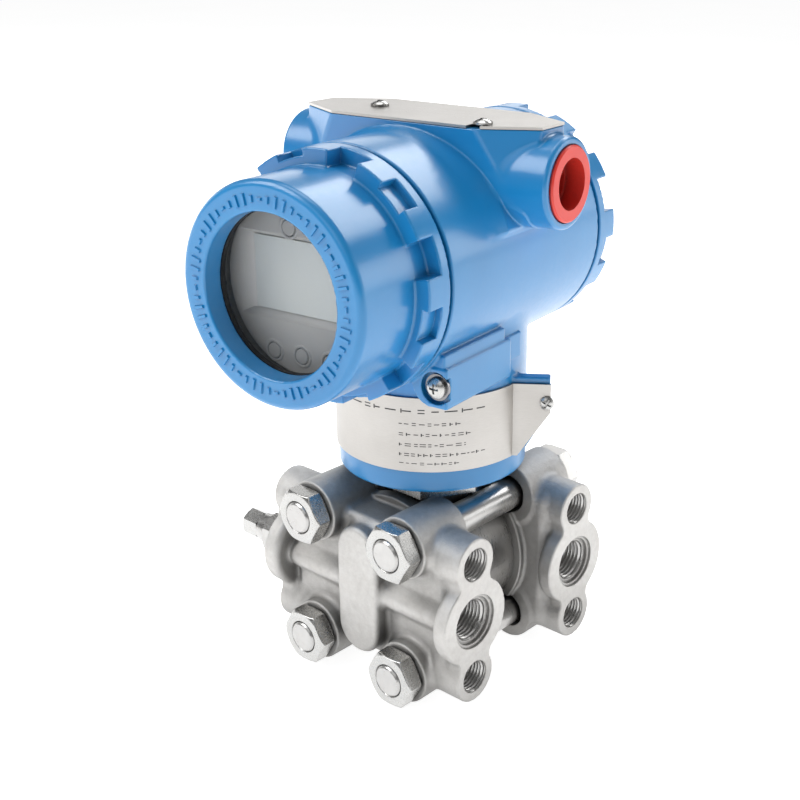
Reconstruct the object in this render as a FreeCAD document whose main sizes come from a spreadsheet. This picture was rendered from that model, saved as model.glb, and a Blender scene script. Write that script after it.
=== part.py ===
import FreeCAD, Part
import Sketcher
import math
import os

# Differential pressure transmitter: a stainless sensor capsule clamped between two process
# flanges, and a painted aluminium housing that can be turned on the capsule's stem.
# Lengths in mm, +Z up. Origin: centre of the four tapped holes of the process coupling face
# (41.3 x 54), so that face lies in X = 0 and the stem's axis stands at X = -stem_back.
# +X points out of the process ports, -Y towards the nuts of the tie bolts.

V = FreeCAD.Vector
Rot = FreeCAD.Rotation
Place = FreeCAD.Placement
doc = FreeCAD.newDocument("pressure_transmitter")
sheet = doc.addObject("Spreadsheet::Sheet", "dims")

CELLS = [
    # process flanges
    ("stem_back", 43.2, "coupling face to stem axis"),
    ("port_y", 27.0, "half the distance between the two process ports"),
    ("tap_z", 20.65, "half the distance between the tapped holes of one flange"),
    ("tap_rad", 5.55, "7/16-20 tapped hole"),
    ("tap_deep", 13.0, "depth of the tapped holes"),
    ("lobe_small", 8.8, "small lobes of the coupling face"),
    ("lobe_big", 15.0, "centre lobe of the coupling face"),
    ("lobe_thick", 6.0, "thickness of the centre lobe"),
    ("lobe_long", 14.0, "length of the small lobes"),
    ("npt_rad", 6.8, "1/4-18 thread bore"),
    ("npt_deep", 16.0, "depth of the process thread"),
    ("seat_rad", 9.0, "counterbore of the process port"),
    ("seat_deep", 4.0, "depth of that counterbore"),
    ("web_x", 36.0, "half width of the flange body"),
    ("web_z", 25.0, "half height of the flange body"),
    ("web_front", 33.0, "outer face of the flange body from the middle plane"),
    ("web_back", 17.5, "inner face of the flange body"),
    ("boss_rad", 10.7, "bolt bosses"),
    ("boss_front", 38.2, "spot face of the bolt bosses"),
    ("bolt_x", 20.7, "half the bolt spacing along X"),
    ("bolt_z", 23.1, "half the bolt spacing along Z"),
    ("bolt_rad", 5.55, "7/16 tie bolt"),
    ("bolt_hole", 5.9, "clearance hole, near flange"),
    ("bolt_hole_far", 6.6, "clearance hole, far flange"),
    ("pad_x", 9.35, "half width of the centre pad"),
    ("pad_z", 23.3, "half height of the centre pad"),
    ("pad_front", 38.4, "face of the centre pad"),
    ("ridge_rad", 4.7, "half-round ridge over the port drilling"),
    ("rim_rad", 28.0, "sealing rim on the inner face"),
    ("nut_flats", 17.5, "across flats of nuts and bolt heads"),
    ("nut_thick", 6.7, "nut thickness"),
    ("bolt_end", 45.7, "end of the tie bolts"),
    ("vent_rad", 6.4, "vent valve body"),
    ("vent_out", 59.3, "end of the vent valve body from the stem axis"),
    ("vent_flats", 9.2, "across flats of the vent screw"),
    ("vent_tip", 67.5, "end of the vent screw from the stem axis"),
    # sensor capsule
    ("cap_rad", 25.0, "capsule"),
    ("cap_half", 15.0, "half thickness of the capsule"),
    ("stem_rad", 14.0, "stem"),
    ("stem_top", 66.0, "end of the stem"),
    ("lock_flats", 34.0, "across flats of the stem lock nut"),
    ("lock_low", 29.3, "underside of the lock nut"),
    ("lock_high", 36.5, "top of the lock nut"),
    # housing
    ("turn_deg", 7.43, "turn of the housing on the stem"),
    ("drum_z", 113.9, "height of the drum axis"),
    ("drum_rad", 38.5, "drum"),
    ("drum_half", 43.6, "half length of the drum"),
    ("bay_rad", 30.0, "compartments"),
    ("thread_rad", 34.9, "cover thread bore"),
    ("thread_from", 33.0, "inner end of the cover thread bore"),
    ("wall_a", -12.0, "rear face of the partition"),
    ("wall_b", -16.0, "front face of the partition"),
    ("neck_rad", 32.1, "neck"),
    ("neck_low", 37.9, "underside of the neck"),
    ("neck_bay", 27.6, "hollow of the neck"),
    ("hub_z", 138.9, "height of the conduit axis"),
    ("hub_rad", 14.2, "conduit hubs"),
    ("hub_face", 50.9, "face of the conduit hubs"),
    ("conduit_rad", 10.4, "conduit bore"),
    ("deck_z", 155.2, "top of the saddle"),
    ("deck_a_x", 27.0, "deck corners, outer pair along Y"),
    ("deck_a_y", 16.5, "deck corners, outer pair along Y"),
    ("deck_b_x", 45.0, "deck corners, ends along X"),
    ("deck_b_y", 6.5, "deck corners, ends along X"),
    ("screw_boss_lo", 21.9, "screw boss, inner side"),
    ("screw_boss_hi", 35.1, "screw boss, outer side"),
    ("screw_boss_z", 74.5, "screw boss, underside"),
    ("screw_boss_y", 42.5, "screw boss, front"),
    ("earth_x", 31.0, "earth screw"),
    ("earth_z", 82.0, "earth screw"),
    # covers
    ("cover_front", 79.8, "front face of the display cover"),
    ("cover_rad", 33.4, "body of the covers"),
    ("cover_bay", 29.9, "inside of the display cover"),
    ("spigot_rad", 34.8, "threaded spigot of the covers"),
    ("spigot_deep", 9.0, "depth of the spigot in the drum"),
    ("rim_near", 45.2, "inner face of the cover rims"),
    ("rim_far", 49.0, "outer face of the plain part of the rims"),
    ("lug_far", 55.5, "outer face of the lugs"),
    ("lug_floor", 36.2, "floor of the lug pockets"),
    ("sight_rad", 24.4, "sight opening"),
    ("lip_back", 72.4, "back of the lip round the glass"),
    ("face_rad", 31.5, "flat ring of the front face"),
    ("rear_far", 58.6, "outer face of the rear cover"),
    ("glass_rad", 29.5, "window glass"),
    ("glass_front", 70.8, "front of the glass"),
    ("glass_back", 67.2, "back of the glass"),
    # display
    ("bezel_rad", 27.2, "display bezel"),
    ("bezel_front", 66.0, "face of the bezel"),
    ("bezel_mid", 59.0, "shoulder of the display"),
    ("bezel_back", 53.0, "back of the display"),
    ("lcd_x", 18.0, "half width of the LCD"),
    ("lcd_low", 105.0, "lower edge of the LCD"),
    ("lcd_high", 127.0, "upper edge of the LCD"),
    ("key_rad", 2.3, "display buttons"),
    ("key_z", 92.8, "row of display buttons"),
    ("key_pitch", 10.6, "pitch of display buttons"),
    ("key_top_x", -3.0, "upper display button"),
    ("key_top_z", 131.0, "upper display button"),
    ("board_rad", 26.0, "display board"),
    ("module_rad", 28.4, "electronics module"),
    ("module_front", 46.0, "front of the electronics module"),
    ("module_back", 16.4, "back of the electronics module"),
    # plate and push buttons of the saddle
    ("plate_thick", 0.8, "name plate cover"),
    ("pivot_x", -21.0, "pivot screw"),
    ("pivot_y", 1.0, "pivot screw"),
    ("clamp_x", 27.0, "clamp screw"),
    ("clamp_y", -11.3, "clamp screw"),
    ("slot_lo", 24.3, "slot of the plate"),
    ("slot_hi", 28.7, "slot of the plate"),
    ("push_rad", 3.6, "zero and span buttons"),
    ("push_x", 5.0, "span button, zero button mirrored"),
    # plugs
    ("plug_rim", 11.8, "rim of the conduit plug"),
    ("plug_face", 51.9, "face of the conduit plug"),
    ("plug_bore", 8.0, "socket of the plug"),
    ("plug_bore_in", 6.5, "inner socket of the plug"),
    ("plug_in", 35.5, "inner end of the plug"),
    # neck label
    ("label_lo", 45.7, "lower edge of the neck plate"),
    ("label_hi", 71.1, "upper edge of the neck plate"),
    ("label_thick", 0.9, "thickness of the neck plate"),
    ("ear_deg", 29.4, "direction of the plate's ear"),
    ("ear_long", 11.9, "length of the ear"),
    ("ear_knee", 61.3, "lower end of the ear's outer edge"),
]
sheet.set("A1", "name")
sheet.set("B1", "size")
sheet.set("C1", "what it is")
NUM = {}
for i, (alias, value, note) in enumerate(CELLS):
    row = str(i + 2)
    sheet.set("A" + row, alias)
    sheet.set("B" + row, str(value))
    sheet.set("C" + row, note)
    sheet.setAlias("B" + row, alias)
    NUM[alias] = value
doc.recompute()


class Q:
    """A size that carries both its number and its spreadsheet formula."""

    def __init__(self, text, num):
        self.t = text
        self.n = float(num)

    @staticmethod
    def of(o):
        return o if isinstance(o, Q) else Q("(%.6f)" % float(o), o)

    def __add__(self, o):
        o = Q.of(o)
        return Q("(%s + %s)" % (self.t, o.t), self.n + o.n)

    def __sub__(self, o):
        o = Q.of(o)
        return Q("(%s - %s)" % (self.t, o.t), self.n - o.n)

    def __mul__(self, o):
        o = Q.of(o)
        return Q("(%s * %s)" % (self.t, o.t), self.n * o.n)

    def __truediv__(self, o):
        o = Q.of(o)
        return Q("(%s / %s)" % (self.t, o.t), self.n / o.n)

    def __neg__(self):
        return Q("(0 - %s)" % self.t, -self.n)

    def __radd__(self, o):
        return Q.of(o) + self

    def __rsub__(self, o):
        return Q.of(o) - self

    def __rmul__(self, o):
        return Q.of(o) * self


def D(alias):
    return Q("dims." + alias, NUM[alias])


def num(v):
    return v.n if isinstance(v, Q) else float(v)


def tie(obj, prop, v):
    """sets a property to a size and keeps it bound to the sheet"""
    if isinstance(v, Q):
        obj.setExpression(prop, v.t)


# ---------------------------------------------------------------- primitives and booleans
COUNT = [0]


def name(stem):
    COUNT[0] += 1
    return "%s_%03d" % (stem, COUNT[0])


AX = {"x": (1, 0, 0), "y": (0, 1, 0), "z": (0, 0, 1), "-x": (-1, 0, 0), "-y": (0, -1, 0), "-z": (0, 0, -1)}


def put(o, base, axis="z", spin=0.0):
    turn = Rot(V(0, 0, 1), V(*AX[axis])).multiply(Rot(V(0, 0, 1), spin))
    o.Placement = Place(V(*[num(c) for c in base]), turn)
    for k, c in zip("xyz", base):
        tie(o, "Placement.Base." + k, c)
    return o


def cyl(rad, high, base, axis="z"):
    o = doc.addObject("Part::Cylinder", name("round"))
    o.Radius = num(rad)
    o.Height = num(high)
    tie(o, "Radius", rad)
    tie(o, "Height", high)
    return put(o, base, axis)


def cone(rad1, rad2, high, base, axis="z"):
    o = doc.addObject("Part::Cone", name("taper"))
    o.Radius1 = num(rad1)
    o.Radius2 = num(rad2)
    o.Height = num(high)
    tie(o, "Radius1", rad1)
    tie(o, "Radius2", rad2)
    tie(o, "Height", high)
    return put(o, base, axis)


def ball(rad, base):
    o = doc.addObject("Part::Sphere", name("ball"))
    o.Radius = num(rad)
    tie(o, "Radius", rad)
    return put(o, base)


def box(lo, hi):
    o = doc.addObject("Part::Box", name("block"))
    for prop, a, b in zip(("Length", "Width", "Height"), lo, hi):
        size = Q.of(b) - a
        setattr(o, prop, size.n)
        o.setExpression(prop, size.t)
    return put(o, lo)


def hexagon(flats, high, base, axis="z", spin=0.0):
    o = doc.addObject("Part::Prism", name("hexagon"))
    o.Polygon = 6
    rad = Q.of(flats) / 1.7320508
    o.Circumradius = rad.n
    o.setExpression("Circumradius", rad.t)
    o.Height = num(high)
    tie(o, "Height", high)
    return put(o, base, axis, spin)


def fuse(*parts):
    """joins the parts one after the other"""
    o = parts[0]
    for p in parts[1:]:
        f = doc.addObject("Part::Fuse", name("joined"))
        f.Base = o
        f.Tool = p
        o = f
    return o


def common(*parts):
    o = doc.addObject("Part::MultiCommon", name("shared"))
    o.Shapes = list(parts)
    return o


def cut(base, *tools):
    """takes the tools off one after the other"""
    o = base
    for t in tools:
        c = doc.addObject("Part::Cut", name("cut"))
        c.Base = o
        c.Tool = t
        o = c
    return o


def ring(rad_out, rad_in, high, base, axis="z"):
    return cut(cyl(rad_out, high, base, axis), cyl(rad_in, high, base, axis))


def soften(obj, radius, pick):
    """rounds the edges of a shape for which pick(edge) holds"""
    doc.recompute()
    o = doc.addObject("Part::Fillet", name("soft"))
    o.Base = obj
    o.Edges = [(i + 1, radius, radius) for i, e in enumerate(obj.Shape.Edges) if pick(e)]
    return o


def bevel(obj, size, pick):
    doc.recompute()
    o = doc.addObject("Part::Chamfer", name("bevel"))
    o.Base = obj
    o.Edges = [(i + 1, size, size) for i, e in enumerate(obj.Shape.Edges) if pick(e)]
    return o


def group(*parts):
    o = doc.addObject("Part::Compound", name("set"))
    o.Links = list(parts)
    return o


def turned_over(obj):
    """the same piece turned half a turn about X, for the opposite side"""
    o = group(obj)
    o.Placement = Place(V(0, 0, 0), Rot(V(1, 0, 0), 180))
    return group(o)


# ---------------------------------------------------------------- bodies with sketches
def new_body(label):
    return doc.addObject("PartDesign::Body", "body_" + label)


def new_sketch(body, role, shift=(0, 0, 0)):
    """a sketch on one of the body's own origin planes; shift is in the plane's own axes
    XY_Plane: X, Y, +Z   XZ_Plane: X, Z, -Y   YZ_Plane: Y, Z, +X"""
    s = body.newObject("Sketcher::SketchObject", name("sketch"))
    for f in body.Origin.OriginFeatures:
        if f.Role == role:
            s.AttachmentSupport = [(f, "")]
    s.MapMode = "FlatFace"
    s.AttachmentOffset = Place(V(*[num(c) for c in shift]), Rot())
    for k, c in zip("xyz", shift):
        tie(s, "AttachmentOffset.Base." + k, c)
    return s


def pin_point(s, geo, pos, x, y):
    for axis, kind, v in ((-2, "DistanceX", x), (-1, "DistanceY", y)):
        if abs(num(v)) < 1e-9:
            s.addConstraint(Sketcher.Constraint("PointOnObject", geo, pos, axis))
        else:
            c = s.addConstraint(Sketcher.Constraint(kind, -1, 1, geo, pos, num(v)))
            tie(s, "Constraints[%d]" % c, v)


def outline(s, pts):
    """a closed outline of straight lines through points given as sizes"""
    g0 = s.GeometryCount
    n = len(pts)
    for i in range(n):
        a, b = pts[i], pts[(i + 1) % n]
        s.addGeometry(Part.LineSegment(V(num(a[0]), num(a[1]), 0), V(num(b[0]), num(b[1]), 0)))
    for i in range(n):
        s.addConstraint(Sketcher.Constraint("Coincident", g0 + i, 2, g0 + (i + 1) % n, 1))
    for i, p in enumerate(pts):
        pin_point(s, g0 + i, 1, p[0], p[1])
    return s


def hoop(s, x, y, rad):
    g = s.addGeometry(Part.Circle(V(num(x), num(y), 0), V(0, 0, 1), num(rad)))
    c = s.addConstraint(Sketcher.Constraint("Radius", g, num(rad)))
    tie(s, "Constraints[%d]" % c, rad)
    if abs(num(x)) < 1e-9 and abs(num(y)) < 1e-9:
        s.addConstraint(Sketcher.Constraint("Coincident", g, 3, -1, 1))
    else:
        pin_point(s, g, 3, x, y)
    return s


def sector(s, r_in, r_out, mid, wide):
    """a piece of a ring about the sketch origin, angles in degrees"""
    a0, a1 = math.radians(mid - wide / 2), math.radians(mid + wide / 2)
    ri, ro = num(r_in), num(r_out)
    o = V(0, 0, 0)
    z = V(0, 0, 1)
    gi = s.addGeometry(Part.ArcOfCircle(Part.Circle(o, z, ri), a0, a1))
    go = s.addGeometry(Part.ArcOfCircle(Part.Circle(o, z, ro), a0, a1))
    l0 = s.addGeometry(Part.LineSegment(V(ri * math.cos(a0), ri * math.sin(a0), 0), V(ro * math.cos(a0), ro * math.sin(a0), 0)))
    l1 = s.addGeometry(Part.LineSegment(V(ri * math.cos(a1), ri * math.sin(a1), 0), V(ro * math.cos(a1), ro * math.sin(a1), 0)))
    add = s.addConstraint
    C = Sketcher.Constraint
    add(C("Coincident", gi, 3, -1, 1))
    add(C("Coincident", go, 3, -1, 1))
    add(C("Coincident", l0, 1, gi, 1))
    add(C("Coincident", l0, 2, go, 1))
    add(C("Coincident", l1, 1, gi, 2))
    add(C("Coincident", l1, 2, go, 2))
    tie(s, "Constraints[%d]" % add(C("Radius", gi, ri)), r_in)
    tie(s, "Constraints[%d]" % add(C("Radius", go, ro)), r_out)
    for line, a in ((l0, a0), (l1, a1)):
        for pos, rr in ((1, ri), (2, ro)):
            if abs(math.cos(a)) < 0.7:
                add(C("DistanceX", -1, 1, line, pos, rr * math.cos(a)))
            else:
                add(C("DistanceY", -1, 1, line, pos, rr * math.sin(a)))
    return s


def feature(body, kind, s, **props):
    f = body.newObject("PartDesign::" + kind, name(kind.lower()))
    f.Profile = s
    for k, v in props.items():
        if isinstance(v, Q):
            setattr(f, k, v.n)
            f.setExpression(k, v.t)
        else:
            setattr(f, k, v)
    return f


def revolve(body, role, pts, shift=(0, 0, 0), axis="H_Axis", kind="Revolution"):
    s = outline(new_sketch(body, role, shift), pts)
    return feature(body, kind, s, ReferenceAxis=(s, [axis]), Angle=360.0)


def polar(body, feat, s, count):
    p = body.newObject("PartDesign::PolarPattern", name("polar"))
    p.Originals = [feat]
    p.Axis = (s, ["N_Axis"])
    p.Angle = 360.0
    p.Occurrences = count
    body.Tip = p
    return p


NODES = []


def node(label, obj, turned=False):
    """names a finished sub-part and sets its place: all stand stem_back behind the coupling
    face, and what belongs to the housing is turned about the stem"""
    if not obj.isDerivedFrom("PartDesign::Body") and (obj.TypeId != "Part::Compound" and obj.Placement.Base.Length > 1e-9):
        obj = group(obj)  # a primitive keeps its own place inside the sub-part
    obj.Label = label
    obj.Placement = Place(V(-NUM["stem_back"], 0, 0), Rot(V(0, 0, 1), NUM["turn_deg"] if turned else 0.0))
    obj.setExpression("Placement.Base.x", "0 - dims.stem_back")
    if turned:
        obj.setExpression("Placement.Rotation.Angle", "dims.turn_deg")
    NODES.append((label, obj))
    return obj


# ================================================================ process flanges
SB = D("stem_back")
PY = D("port_y")
BX = D("bolt_x")
BZ = D("bolt_z")
CORNERS = [(BX, BZ), (BX, -BZ), (-BX, BZ), (-BX, -BZ)]


def flange(bolt_hole):
    """one process flange, drawn on the -Y side of the capsule"""
    wf, wb = D("web_front"), D("web_back")
    wx, wz = D("web_x"), D("web_z")
    web = box((-wx, -wf, -wz), (wx, -wb, wz))
    web = soften(web, 3.0, lambda e: abs(e.BoundBox.YMin - e.BoundBox.YMax) < 1e-6 and e.BoundBox.YMin < -NUM["web_front"] + 0.01
                 or e.BoundBox.YLength > 10)
    parts = [web]
    for x, z in CORNERS:
        parts.append(cyl(D("boss_rad"), D("boss_front") - wb, (x, -D("boss_front"), z), "y"))
    # centre pad with round ends
    px, pz, pf = D("pad_x"), D("pad_z"), D("pad_front")
    parts.append(soften(box((-px, -pf, -pz), (px, -wb, pz)), NUM["pad_x"] - 0.05, lambda e: e.BoundBox.YLength > 10))
    # ridge over the drilling from port to vent
    parts.append(cyl(D("ridge_rad"), wx * 2 - 3.0, (-wx + 1.5, -(wf - 1.2), 0), "x"))
    # sealing rim
    parts.append(cyl(D("rim_rad"), D("web_back") - D("cap_half") + 2.0, (0, -(wb + 2.0), 0), "y"))
    for side in (1, -1):
        face = SB * side
        out = "-x" if side == 1 else "x"
        ls = D("lobe_small")
        for z in (D("tap_z"), -D("tap_z")):
            parts.append(cyl(ls, D("lobe_long"), (face, -PY, z), out))
            parts.append(cone(ls, ls - 4.0, 3.5, (face - D("lobe_long") * side, -PY, z), out))
        parts.append(cyl(D("lobe_big"), D("lobe_thick"), (face, -PY, 0), out))
        parts.append(cone(D("lobe_big"), 10.0, 6.0, (face - D("lobe_thick") * side, -PY, 0), out))
        lo, hi = (face - D("lobe_thick"), face) if side == 1 else (face, face + D("lobe_thick"))
        parts.append(box((lo, -(PY + ls - 0.25), -D("tap_z")), (hi, -(PY - ls + 0.25), D("tap_z"))))
    whole = fuse(*parts)
    holes = []
    for x, z in CORNERS:
        holes.append(cyl(bolt_hole, 40.0, (x, -45.0, z), "y"))
    for z in (D("tap_z"), -D("tap_z")):
        holes.append(cyl(D("tap_rad"), D("tap_deep") + 1.0, (SB + 1.0, -PY, z), "-x"))
        holes.append(cone(D("tap_rad"), 0.5, 2.4, (SB - D("tap_deep"), -PY, z), "-x"))
    holes.append(cyl(D("seat_rad"), D("seat_deep") + 1.0, (SB + 1.0, -PY, 0), "-x"))
    holes.append(cyl(D("npt_rad"), D("npt_deep"), (SB, -PY, 0), "-x"))
    holes.append(cyl(D("vent_rad") + 0.02, 14.0 + 1.0, (-(SB + 1.0), -PY, 0), "x"))
    holes.append(cyl(3.0, SB * 2 - 20.0, (-(SB - 10.0), -PY, 0), "x"))
    # pressure chamber and its drilling
    holes.append(cyl(3.0, PY - D("cap_half"), (0, -PY, 0), "y"))
    holes.append(cyl(20.0, 1.6, (0, -(D("cap_half") + 1.6), 0), "y"))
    return cut(whole, *holes)


node("high_side_flange", flange(D("bolt_hole")))
node("low_side_flange", turned_over(flange(D("bolt_hole_far"))))

# tie bolts: hexagon head on the far side, nut on the near side
bolts, nuts = [], []
NF = D("nut_flats")
for x, z in CORNERS:
    shank = bevel(cyl(D("bolt_rad"), D("bolt_end") + D("boss_front") + 1.0, (x, -D("bolt_end"), z), "y"), 0.8,
                  lambda e: e.BoundBox.YMax < -45.0)
    head = common(hexagon(NF, 7.2, (x, D("boss_front") + 0.02, z), "y"),
                  cone(NF / 2.0 + 12.0, NF / 2.0 - 0.3, 7.2, (x, D("boss_front") + 0.02, z), "y"))
    bolts.append(fuse(shank, head))
    raw = hexagon(NF, D("nut_thick"), (x, -(D("boss_front") + 0.1 + D("nut_thick")), z), "y")
    dome = cone(NF / 2.0 - 0.25, NF / 2.0 + 11.3, D("nut_thick"), (x, -(D("boss_front") + 0.1 + D("nut_thick")), z), "y")
    nuts.append(cut(common(raw, dome), cyl(D("bolt_rad") + 0.03, 9.0, (x, -46.5, z), "y")))
node("tie_bolts", group(*bolts))
node("tie_nuts", group(*nuts))


# vent valves at the -X ends of both flanges
def vent_body(y):
    nut = common(hexagon(13.4, 10.6, (-(SB + 11.6), y, 0), "x"), cone(6.1, 18.1, 10.6, (-(SB + 11.6), y, 0), "x"))
    b = [cyl(D("vent_rad"), 16.0, (-(SB + 3.0), y, 0), "x"), nut,
         cyl(7.2, 1.2, (-(SB + 1.25), y, 0), "x"),
         cone(5.2, 6.0, D("vent_out") - SB - 11.0, (-D("vent_out"), y, 0), "x")]
    return cut(fuse(*b), cyl(3.25, 40.0, (-(D("vent_out") + 1.0), y, 0), "x"))


def vent_screw(y):
    long = D("vent_tip") - D("vent_out") - 0.55
    head = common(hexagon(D("vent_flats"), long, (-D("vent_tip"), y, 0), "x"),
                  cone(D("vent_flats") / 2.0 - 0.3, D("vent_flats") / 2.0 + 12.0, long, (-D("vent_tip"), y, 0), "x"))
    return fuse(head, cyl(3.9, 0.5, (-(D("vent_out") + 0.6), y, 0), "x"),
                cyl(3.2, 25.0, (-(D("vent_out") + 1.0), y, 0), "x"), cone(3.2, 0.8, 2.4, (-(D("vent_out") - 24.0), y, 0), "x"))


node("vent_bodies", group(vent_body(-PY), vent_body(PY)))
node("vent_screw_high", vent_screw(-PY))
node("vent_screw_low", vent_screw(PY))

# ================================================================ sensor capsule
CR, CH = D("cap_rad"), D("cap_half")
cap = fuse(cyl(CR, CH * 2, (0, -CH, 0), "y"), cyl(D("stem_rad"), D("stem_top") - 10.0, (0, 0, 10.0)))
cap = cut(cap, ring(24.0, 21.5, 1.0, (0, -CH, 0), "y"), ring(24.0, 21.5, 1.0, (0, CH, 0), "-y"),
          cyl(20.0, 1.2, (0, -CH, 0), "y"), cyl(20.0, 1.2, (0, CH, 0), "-y"),
          cyl(9.0, 30.0, (0, 0, D("stem_top") - 29.0)))
node("sensor_capsule", cap)


def diaphragm(label, side):
    """thin isolating diaphragm with rolled rings, welded in the face of the capsule"""
    b = new_body(label)
    y0 = CH * -1.0 + 0.5 if side < 0 else CH - 0.5
    t = 0.28 * side
    pts = [(y0, 0), (y0, 4.0)]
    for k in range(4):
        pts.append((y0 - 0.2 * side, 5.4 + 3.4 * k))
        pts.append((y0, 7.1 + 3.4 * k))
    pts += [(y0, 19.8), (y0 - t, 19.8)]
    for k in (3, 2, 1, 0):
        pts.append((y0 - t, 7.1 + 3.4 * k))
        pts.append((y0 - 0.2 * side - t, 5.4 + 3.4 * k))
    pts += [(y0 - t, 4.0), (y0 - t, 0)]
    revolve(b, "YZ_Plane", pts)
    node(label, b)


diaphragm("diaphragm_high", -1)
diaphragm("diaphragm_low", 1)
for label, side in (("flange_gasket_high", -1), ("flange_gasket_low", 1)):
    b = new_body(label)
    a = (CH - 1.0) * side
    e = CH * side
    revolve(b, "YZ_Plane", [(a, 21.6), (e, 21.6), (e, 23.9), (a, 23.9)])
    node(label, b)

b = new_body("stem_lock_nut")
s = new_sketch(b, "XY_Plane", (0, 0, D("lock_low")))
lr = NUM["lock_flats"] / math.sqrt(3)
for k in range(6):
    a0, a1 = math.radians(60 * k), math.radians(60 * k + 60)
    s.addGeometry(Part.LineSegment(V(lr * math.cos(a0), lr * math.sin(a0), 0), V(lr * math.cos(a1), lr * math.sin(a1), 0)))
for k in range(6):
    s.addConstraint(Sketcher.Constraint("Coincident", k, 2, (k + 1) % 6, 1))
for k in range(5):
    s.addConstraint(Sketcher.Constraint("Equal", k, k + 1))
for k in range(4):
    s.addConstraint(Sketcher.Constraint("Distance", -1, 1, k, 1, lr))
s.addConstraint(Sketcher.Constraint("PointOnObject", 0, 1, -1))
feature(b, "Pad", s, Length=D("lock_high") - D("lock_low"))
s = hoop(new_sketch(b, "XY_Plane", (0, 0, D("lock_high") + 1.0)), 0, 0, D("stem_rad") + 0.02)
feature(b, "Pocket", s, Length=D("lock_high") - D("lock_low") + 2.0)
node("stem_lock_nut", b)

# ================================================================ housing casting
DZ, DR, DH = D("drum_z"), D("drum_rad"), D("drum_half")
drum = cyl(DR, DH * 2, (0, -DH, DZ), "y")
drum = soften(drum, 0.8, lambda e: e.BoundBox.YLength < 1e-6)
deck_hi = doc.addObject("Sketcher::SketchObject", "deck_top")
deck_lo = doc.addObject("Sketcher::SketchObject", "deck_root")
for sk, z, ax, ay, bx_, by in ((deck_hi, D("deck_z"), D("deck_a_x"), D("deck_a_y"), D("deck_b_x"), D("deck_b_y")),
                               (deck_lo, D("deck_z") - 32.0, D("deck_a_x") + 2.0, D("deck_a_y") - 5.5, D("deck_b_x") - 9.0, D("deck_b_y") + 3.5)):
    sk.Placement = Place(V(0, 0, num(z)), Rot())
    sk.setExpression("Placement.Base.z", z.t)
    outline(sk, [(ax, -ay), (bx_, -by), (bx_, by), (ax, ay), (-ax, ay), (-bx_, by), (-bx_, -by), (-ax, -ay)])
deck = doc.addObject("Part::Loft", "deck")
deck.Sections = [deck_lo, deck_hi]
deck.Solid = True
deck.Ruled = True
neck = cyl(D("neck_rad"), DZ - D("neck_low") - 20.0, (0, 0, D("neck_low")))
neck = soften(neck, 1.2, lambda e: e.BoundBox.ZMax < 38.0)
hub = soften(cyl(D("hub_rad"), D("hub_face") * 2, (-D("hub_face"), 0, D("hub_z")), "x"), 1.0, lambda e: e.BoundBox.XLength < 1e-6)
boss = box((D("screw_boss_lo"), -D("screw_boss_y"), D("screw_boss_z")), (D("screw_boss_hi"), -6.0, 93.0))
boss = soften(boss, 6.0, lambda e: e.BoundBox.YLength > 10 and e.BoundBox.ZMax < 75 and e.BoundBox.XMax < 25)
# fin that carries the ear of the neck plate
fin = doc.addObject("Sketcher::SketchObject", "fin_outline")
fin.Placement = Place(V(27.0, -3.1, 0), Rot(V(0, 0, 1), NUM["ear_deg"]).multiply(Rot(V(1, 0, 0), 90)))
fin.setExpression("Placement.Base.x", "dims.neck_rad - 5.1")
outline(fin, [(-6.0, D("label_lo") + 2.5), (D("ear_long") - 1.4, D("label_lo") + 2.5), (D("ear_long") + 6.4, D("ear_knee")),
              (D("ear_long") + 6.4, D("label_hi") + 2.0), (-6.0, D("label_hi") + 2.0)])
fin_body = doc.addObject("Part::Extrusion", "fin_plate")
fin_body.Base = fin
fin_body.DirMode = "Custom"
fin_dir = Rot(V(0, 0, 1), NUM["ear_deg"]).multVec(V(0, 1, 0))
fin_body.Dir = fin_dir
fin_body.LengthFwd = 4.0
fin_body.Solid = True
solid = fuse(drum, deck, neck, hub, boss, fin_body)
bays = [
    cyl(D("thread_rad"), DH - D("thread_from") + 1.0, (0, -(DH + 1.0), DZ), "y"),
    cyl(D("thread_rad"), DH - D("thread_from") + 1.0, (0, DH + 1.0, DZ), "-y"),
    cyl(D("bay_rad"), DH + D("wall_b"), (0, -DH, DZ), "y"),
    cyl(D("bay_rad"), DH - D("wall_a"), (0, D("wall_a"), DZ), "y"),
    cyl(D("conduit_rad"), D("hub_face") * 2 + 2.0, (-(D("hub_face") + 1.0), 0, D("hub_z")), "x"),
    cyl(D("plug_rim") + 0.15, 3.0, (D("hub_face") + 1.5, 0, D("hub_z")), "-x"),
    cyl(D("plug_rim") + 0.15, 3.0, (-(D("hub_face") + 1.5), 0, D("hub_z")), "x"),
    cyl(D("stem_rad") + 0.05, 12.0, (0, 0, D("neck_low") - 1.0)),
    cyl(D("neck_bay"), 27.0, (0, 0, D("neck_low") + 8.6)),
    cyl(7.0, 24.0, (0, -24.0, D("neck_low") + 30.0)),
    # earth screw: round recess and threaded hole in the front of the boss
    cyl(4.6, 2.4, (D("earth_x"), -(D("screw_boss_y") + 0.4), D("earth_z")), "y"),
    cyl(1.85, 12.0, (D("earth_x"), -D("screw_boss_y"), D("earth_z")), "y"),
    # wells and guide holes of the push buttons, screw holes of the plate
    cyl(D("push_rad") + 0.1, 7.0, (D("push_x"), 0, D("deck_z") - 6.0)),
    cyl(D("push_rad") + 0.1, 7.0, (-D("push_x"), 0, D("deck_z") - 6.0)),
    cyl(1.3, 8.0, (D("pivot_x"), D("pivot_y"), D("deck_z") - 7.0)),
    cyl(1.3, 8.0, (D("clamp_x"), D("clamp_y"), D("deck_z") - 7.0)),
]
housing = cut(solid, *bays)
ear_n = Rot(V(0, 0, 1), NUM["ear_deg"]).multVec(V(0, -1, 0))
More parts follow.
